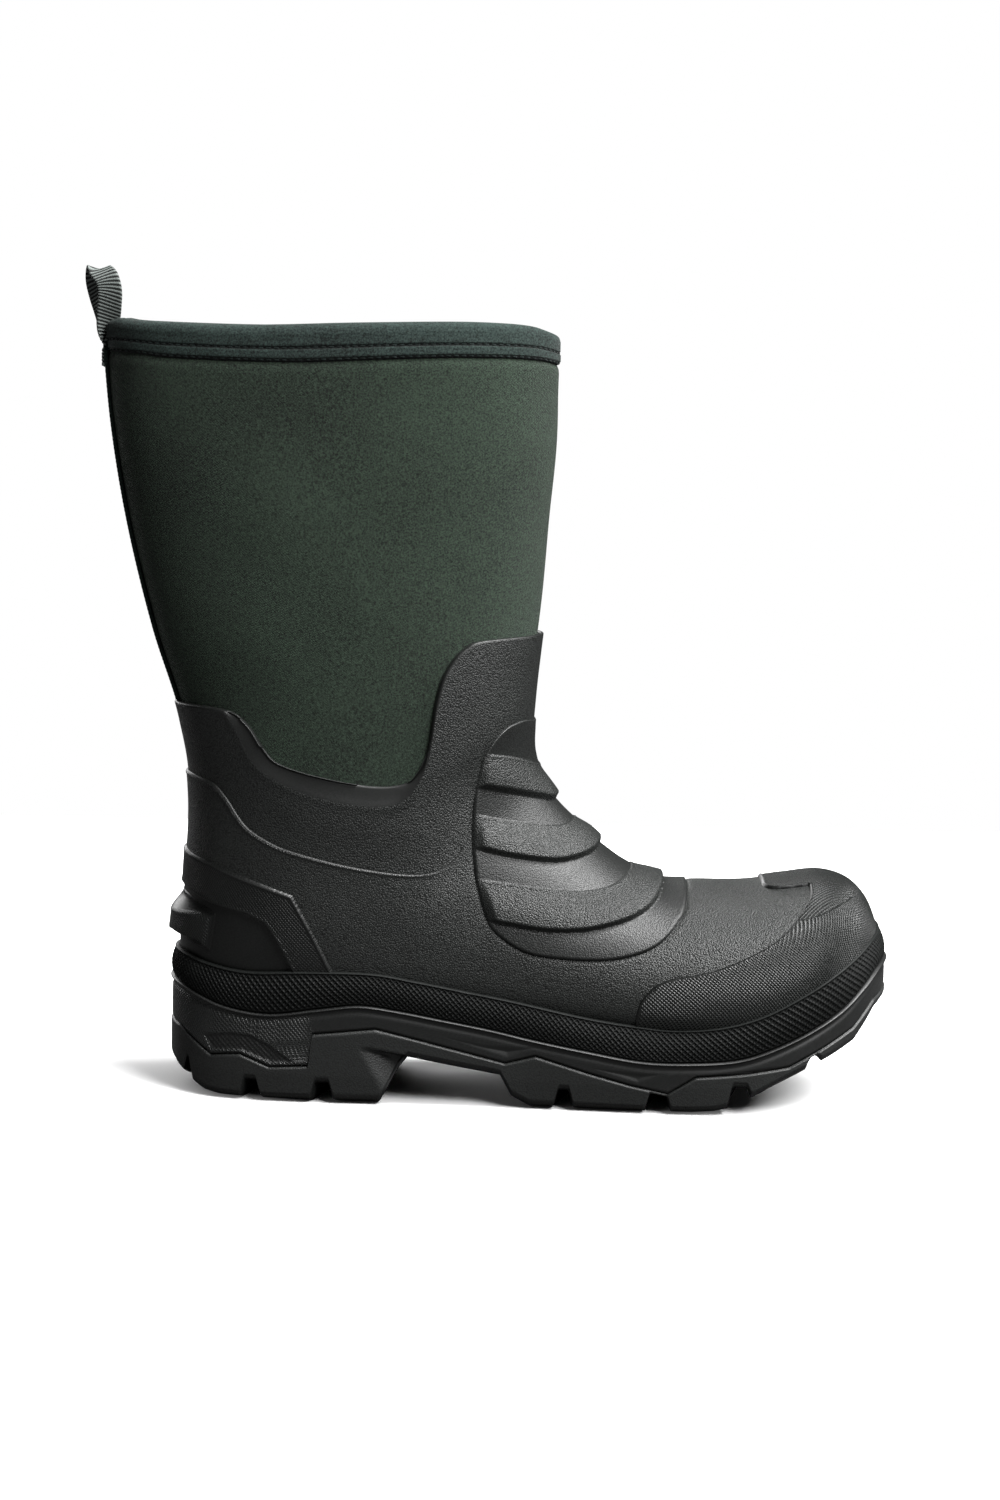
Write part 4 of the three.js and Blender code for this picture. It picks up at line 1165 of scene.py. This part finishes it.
def tread_height(plan):
    """Height of the outsole's underside: lugs on the ground, gaps that lean forward to the middle."""
    x, y = plan[:, 0], plan[:, 1]
    base = height_of(OUTSOLE_BOTTOM, x)
    height = base.copy()
    for centre, width, top in LUG_CUTS:
        lean = 0.28 * (46 - np.clip(np.abs(y - 1), 0, 46))
        inside = ease(width / 2 + 0.6, width / 2 - 2.2, np.abs(x - lean - centre))
        height = np.maximum(height, mix(base, max(top, 6.0), inside))
    on_ground = ease(-121, -116, x) * ease(-46, -50, x) + ease(14, 18, x) * ease(128, 122, x)
    bend = 3.0 * np.sin(x / 7.0)
    inside = ease(CHANNEL_HALF + 0.8, CHANNEL_HALF - 0.5, np.abs(y - 2 - bend)) * on_ground
    height = np.maximum(height, mix(base, CHANNEL_TOP, inside))
    for side in (-26, 30):
        inside = ease(1.7, 0.8, np.abs(y - side + bend)) * on_ground
        height = np.maximum(height, mix(base, 3.0, inside))
    return height


# At the arch the wall is scooped in under this ledge and in front of this edge of the heel block.
ARCH_LEDGE = [(-56, 25.5), (-36, 22.3), (-10, 18.2), (10, 13)]
ARCH_START = [(-56, 26), (-44, 4)]
LUG_ROUNDING, LUG_RISE = 9.0, 2.8      # over how much of its width the tread rises to the wall, and how far


def make_outsole():
    """The outsole: a shallow dish with the lugged tread under it and moulded facets on its wall."""
    points, out = footprint_columns(1500)
    x = points[:, 0]
    high = height_of(OUTSOLE_TOP, x) - 0.1
    low = np.minimum(tread_height(points) + LUG_RISE, high - 1.0)
    well = height_of(WELL_FLOOR, x)
    block_x, block_z = np.array(ARCH_START[::-1], float).T
    rows = [spine_row(points, lambda plan: height_of(WELL_FLOOR, plan[:, 0]))]
    rows += [wall_row(points, out, inset, z) for inset, z in ((6.0, well), (6.0, high), (1.2, high))]
    for share in np.linspace(0, 1, 36):
        z = mix(high, low, share)
        joint = groove(high - z, 0.9, 0.45)
        ahead = x - np.interp(z, block_z, block_x)
        under = height_of(ARCH_LEDGE, x) - z
        scoop = 4.2 * ease(-0.2, 1.0, under) * ease(0, 13, ahead) * ease(10, 4, x)
        foot = 0.7 * ease(1.2, 0.0, z - low)
        draft = 0.045 * np.clip(12 - z, 0, 12)
        rows.append(wall_row(points, out, 0.1 + joint + scoop + foot + draft, z))
    half_width = np.linalg.norm(spine_row(points, tread_height)[:, :2] - points, axis=1)
    for share in np.concatenate([np.linspace(0.035, 0.5, 30), np.linspace(0.53, 1, 18)]):
        row = spine_row(points, tread_height, share)
        row[:, 2] += LUG_RISE * np.clip(1 - share * half_width / LUG_ROUNDING, 0, 1) ** 2
        rows.append(row)
    outsole = grid_piece("outsole_lugged", np.array(rows), GRIP, turned=True)
    stand_for(outsole, "outsole", "foot")


# ================================================================ linings and insulation inside
def make_inside():
    """The fleece bootie, its insulation and neoprene, and the footbed's cover."""
    around = even_columns(150)
    for name, node, (low, high), finish, slot in (
        ("bootie_neoprene", "neoprene_bootie", (NEOPRENE_IN, NEOPRENE_OUT), NEOPRENE, "neoprene"),
        ("bootie_wadding", "insulation", (INSULATION_IN, INSULATION_OUT), WADDING, "insulation_wadding"),
        ("bootie_fleece", "foot_lining", (FOOT_LINING_IN, FOOT_LINING_OUT), FLEECE, "fleece_lining"),
    ):
        rows = [(s, high) for s in spaced(0, LEG_START - 0.02, 90)]
        rows += [(s, low) for s in spaced(LEG_START - 0.02, 0, 90)]
        piece = layer(name, rows, around, finish)
        stand_for(piece, node)
    make_footbed_cover()


def make_footbed_cover():
    """The footbed's fleece cover: a shallow cupped top with a rolled edge."""
    line = smooth_line(INSOLE_LINE) + [0, 6.2]
    cloud = points_near_line(line, (0.2, 14, 400), 700, INSIDE_FOOT - 0.3, 0.4)
    centre = np.array([20.0, 2.0])
    angle = np.arctan2(cloud[:, 1] - centre[1], (cloud[:, 0] - centre[0]) / 2.5)
    turns = np.linspace(-math.pi, math.pi, 121)[:-1]
    rim = np.array([cloud[np.argmin(np.abs(np.angle(np.exp(1j * (angle - turn)))))] for turn in turns])
    rim = closed_curve(rim[::2], 360)
    rows = []
    for share, low in ((0.94, 0.6), (0.985, 0.6), (1.0, 1.0), (0.995, 1.5), (0.98, 1.75)):
        plan = mix(centre, rim, share)
        rows.append(np.column_stack([plan, height_of(line, plan[:, 0]) - 0.6 + low]))
    for share in np.linspace(0.96, 0.0, 60):
        plan = mix(centre, rim, share)
        cup = 1.8 * ease(0.8, 1.0, share) * ease(-40, -80, plan[:, 0])
        pile = 0.15 * ripple(np.column_stack([plan, 0 * plan[:, 0]]), 6, 5)
        rows.append(np.column_stack([plan, height_of(line, plan[:, 0]) + 1.2 + cup + pile]))
    cover = grid_piece("footbed_cover_fleece", np.array(rows), FLEECE, turned=True)
    stand_for(cover, "footbed_cover", "foot")


# ================================================================ pull loop
LOOP_WIDTH, LOOP_THICK, LOOP_RIB = 10.4, 1.1, 1.5
# The web's middle line up one leg and down the other: x, y, z and the direction that its width points in.
LOOP_PATH = [
    (-168.8, 0.4, 314.5, 0), (-168.8, 0.4, 319, 0), (-168.9, 0.3, 323.5, 0), (-168.6, -0.8, 328.5, 38),
    (-167.9, -2.8, 334, 72), (-167.2, -4.4, 340, 86), (-166.9, -5.0, 346.5, 92),
    (-168.2, -4.0, 351.5, 100), (-170.8, -1.2, 354.6, 106), (-173.0, 2.0, 355.4, 108),
    (-173.8, 4.4, 351, 106), (-172.2, 4.4, 344.5, 106), (-169.8, 3.2, 337, 112), (-168.9, 1.4, 330, 140),
    (-169.3, -0.3, 324, 175), (-169.7, -0.6, 319, 180), (-169.7, -0.6, 314.5, 180),
]


def make_loop():
    """The ribbed webbing loop, twisted from its flat sewn end, and the tab that holds it."""
    table = np.array(LOOP_PATH, float)
    path = catmull_rom(table, np.linspace(0, len(table) - 1, 900))
    centre, turn = path[:, :3], np.radians(path[:, 3])
    along = np.gradient(centre, axis=0)
    along /= np.linalg.norm(along, axis=1, keepdims=True)
    wide = np.column_stack([np.sin(turn), np.cos(turn), 0 * turn])
    wide -= (wide * along).sum(1, keepdims=True) * along
    wide /= np.linalg.norm(wide, axis=1, keepdims=True)
    face = np.cross(along, wide)
    run = np.concatenate([[0], np.cumsum(np.linalg.norm(np.diff(centre, axis=0), axis=1))])
    ribs = 0.5 + 0.5 * np.sin(2 * math.pi * run / LOOP_RIB)
    outline = [(-0.5, 0.0)]
    outline += [(w, 0.5) for w in np.linspace(-0.46, 0.46, 13)] + [(0.5, 0.0)]
    outline += [(w, -0.5) for w in np.linspace(0.46, -0.46, 13)]
    grid = np.zeros((len(path), len(outline), 3))
    # tone is the rib height: it shapes the web and paints shade into the grooves' colour.
    tone = np.zeros(grid.shape[:2])
    for column, (w, t) in enumerate(outline):
        tone[:, column] = np.interp(run + 2.6 * w, run, ribs)
        thick = LOOP_THICK * t + np.sign(t) * 0.3 * (tone[:, column] - 0.5)
        grid[:, column] = centre + wide * (w * LOOP_WIDTH) + face * thick[:, None]
    loop = grid_piece("loop_webbing", grid, RIBBED_WEB, closed_ends=True, grain=tone)
    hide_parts("pull_loop")
    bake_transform(loop)
    make_loop_tab()


def make_loop_tab():
    """The stitched patch over the loop's ends."""
    half_width, low, high = 5.7, 314.0, 322.4
    y = np.array([-1, -1, -0.97, -0.9, -0.8, -0.5, 0, 0.5, 0.8, 0.9, 0.97, 1, 1]) * half_width
    z = np.linspace(low, high, 60)
    grid = np.zeros((len(z), len(y), 3))
    for column, across in enumerate(y):
        rim = ease(0, 0.6, half_width - abs(across))
        ends = ease(0, 0.7, z - low) * ease(0, 0.7, high - z)
        seam = groove(np.minimum(z - low, high - z) - 1.8, 0.25, 0.35)
        weave = 0.08 * np.sin(2 * math.pi * z / 1.35)
        x = -169.3 - 1.1 * rim * ends + seam + weave
        grid[:, column] = np.column_stack([x, np.full(len(z), across), z])
    grid[:, 0, 0] = grid[:, -1, 0] = -167.6
    tab = grid_piece("loop_tab_webbing", grid, WEBBING, closed_ends=True)
    stand_for(tab, "loop_tab", "leg")


# ================================================================ camera, stage and light
def look_at(thing, target):
    thing.rotation_euler = (Vector(target) - thing.location).to_track_quat("-Z", "Y").to_euler()


def make_camera():
    data = bpy.data.cameras.new("camera")
    camera = bpy.data.objects.new("camera", data)
    bpy.context.scene.collection.objects.link(camera)
    camera.location = Vector(CAMERA_PLACE) * MM
    sight = Vector(CAMERA_TARGET) * MM - camera.location
    camera.rotation_mode = "QUATERNION"
    camera.rotation_quaternion = sight.to_track_quat("-Z", "Y") @ Quaternion((0, 0, 1), CAMERA_ROLL)
    data.sensor_fit = "VERTICAL"
    data.angle_y = 2 * math.atan(0.5 * FRAME_HEIGHT * MM / sight.length)
    data.clip_start = 0.05
    data.clip_end = 50
    bpy.context.scene.camera = camera


def make_light(name, place, target, size, power):
    data = bpy.data.lights.new(name, "AREA")
    data.shape = "RECTANGLE"
    data.size, data.size_y = size
    data.energy = power
    light = bpy.data.objects.new(name, data)
    bpy.context.scene.collection.objects.link(light)
    light.location = place
    look_at(light, target)


def is_camera_ray(tree):
    return add_node(tree, "LightPath").outputs["Is Camera Ray"]


def make_stage():
    """White paper under the boot in a dim studio; both look white to the camera but bounce little light."""
    corners = [(-1300, -1100, 0), (1300, -1100, 0), (1300, 800, 0), (-1300, 800, 0)]
    paper, tree, shader = start_material("stage_paper")
    white = remap(is_camera_ray(tree), To_Min=PAPER_BOUNCE, To_Max=0.95)
    tree.links.new(white, shader.inputs["Base Color"])
    axes = add_node(tree, "SeparateXYZ", {"Vector": object_coords(tree)})
    squares = []
    for axis, middle, reach in zip("XY", SHADOW_MIDDLE, SHADOW_REACH):
        share = math_node("DIVIDE", math_node("SUBTRACT", axes.outputs[axis], middle * MM), reach * MM)
        squares.append(math_node("POWER", share, 2.0))
    clear = remap(math_node("SQRT", plus(*squares)), From_Min=0.8, From_Max=1.2)
    glow = times(times(is_camera_ray(tree), PAPER_GLOW), clear)
    shader.inputs["Emission Color"].default_value = (1, 1, 1, 1)
    tree.links.new(glow, shader.inputs["Emission Strength"])
    shader.inputs["Roughness"].default_value = 0.95
    shader.inputs["Specular IOR Level"].default_value = 0.0
    floor = add_mesh("paper", corners, [(0, 1, 2, 3)], paper)
    floor.location.z = -0.0004
    world = bpy.data.worlds.new("studio")
    world.use_nodes = True
    tree = world.node_tree
    strength = remap(is_camera_ray(tree), To_Min=STUDIO_GLOW, To_Max=1.0)
    background = tree.nodes["Background"]
    background.inputs["Color"].default_value = (1, 1, 1, 1)
    tree.links.new(strength, background.inputs["Strength"])
    bpy.context.scene.world = world
    for name, place, size, power in LIGHTS:
        make_light(name, place, (0, 0, 0.12), size, power)
    bpy.context.scene.view_settings.view_transform = "Standard"


# ================================================================ the boot
make_camera()
make_stage()
make_leg()
make_binding()
make_back_tape("back_tape_webbing", "back_tape", 0.2, 1.9, WEBBING)
make_back_tape("inner_tape_webbing", "inner_seam_tape", -5.7, -7.0, WEBBING)
make_shell()
make_overlay()
make_guard()
make_toe_cap()
make_counter()
make_kick()
make_rand()
make_midsole()
make_outsole()
make_inside()
make_loop()

HIDDEN_FINISHES = {
    "shank": STEEL, "toe_puff": BOARD, "heel_stiffener": BOARD, "insole_board": BOARD, "footbed": FOAM}
for name, finish in HIDDEN_FINISHES.items():
    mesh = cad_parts[name].data
    mesh.materials.clear()
    mesh.materials.append(finish)
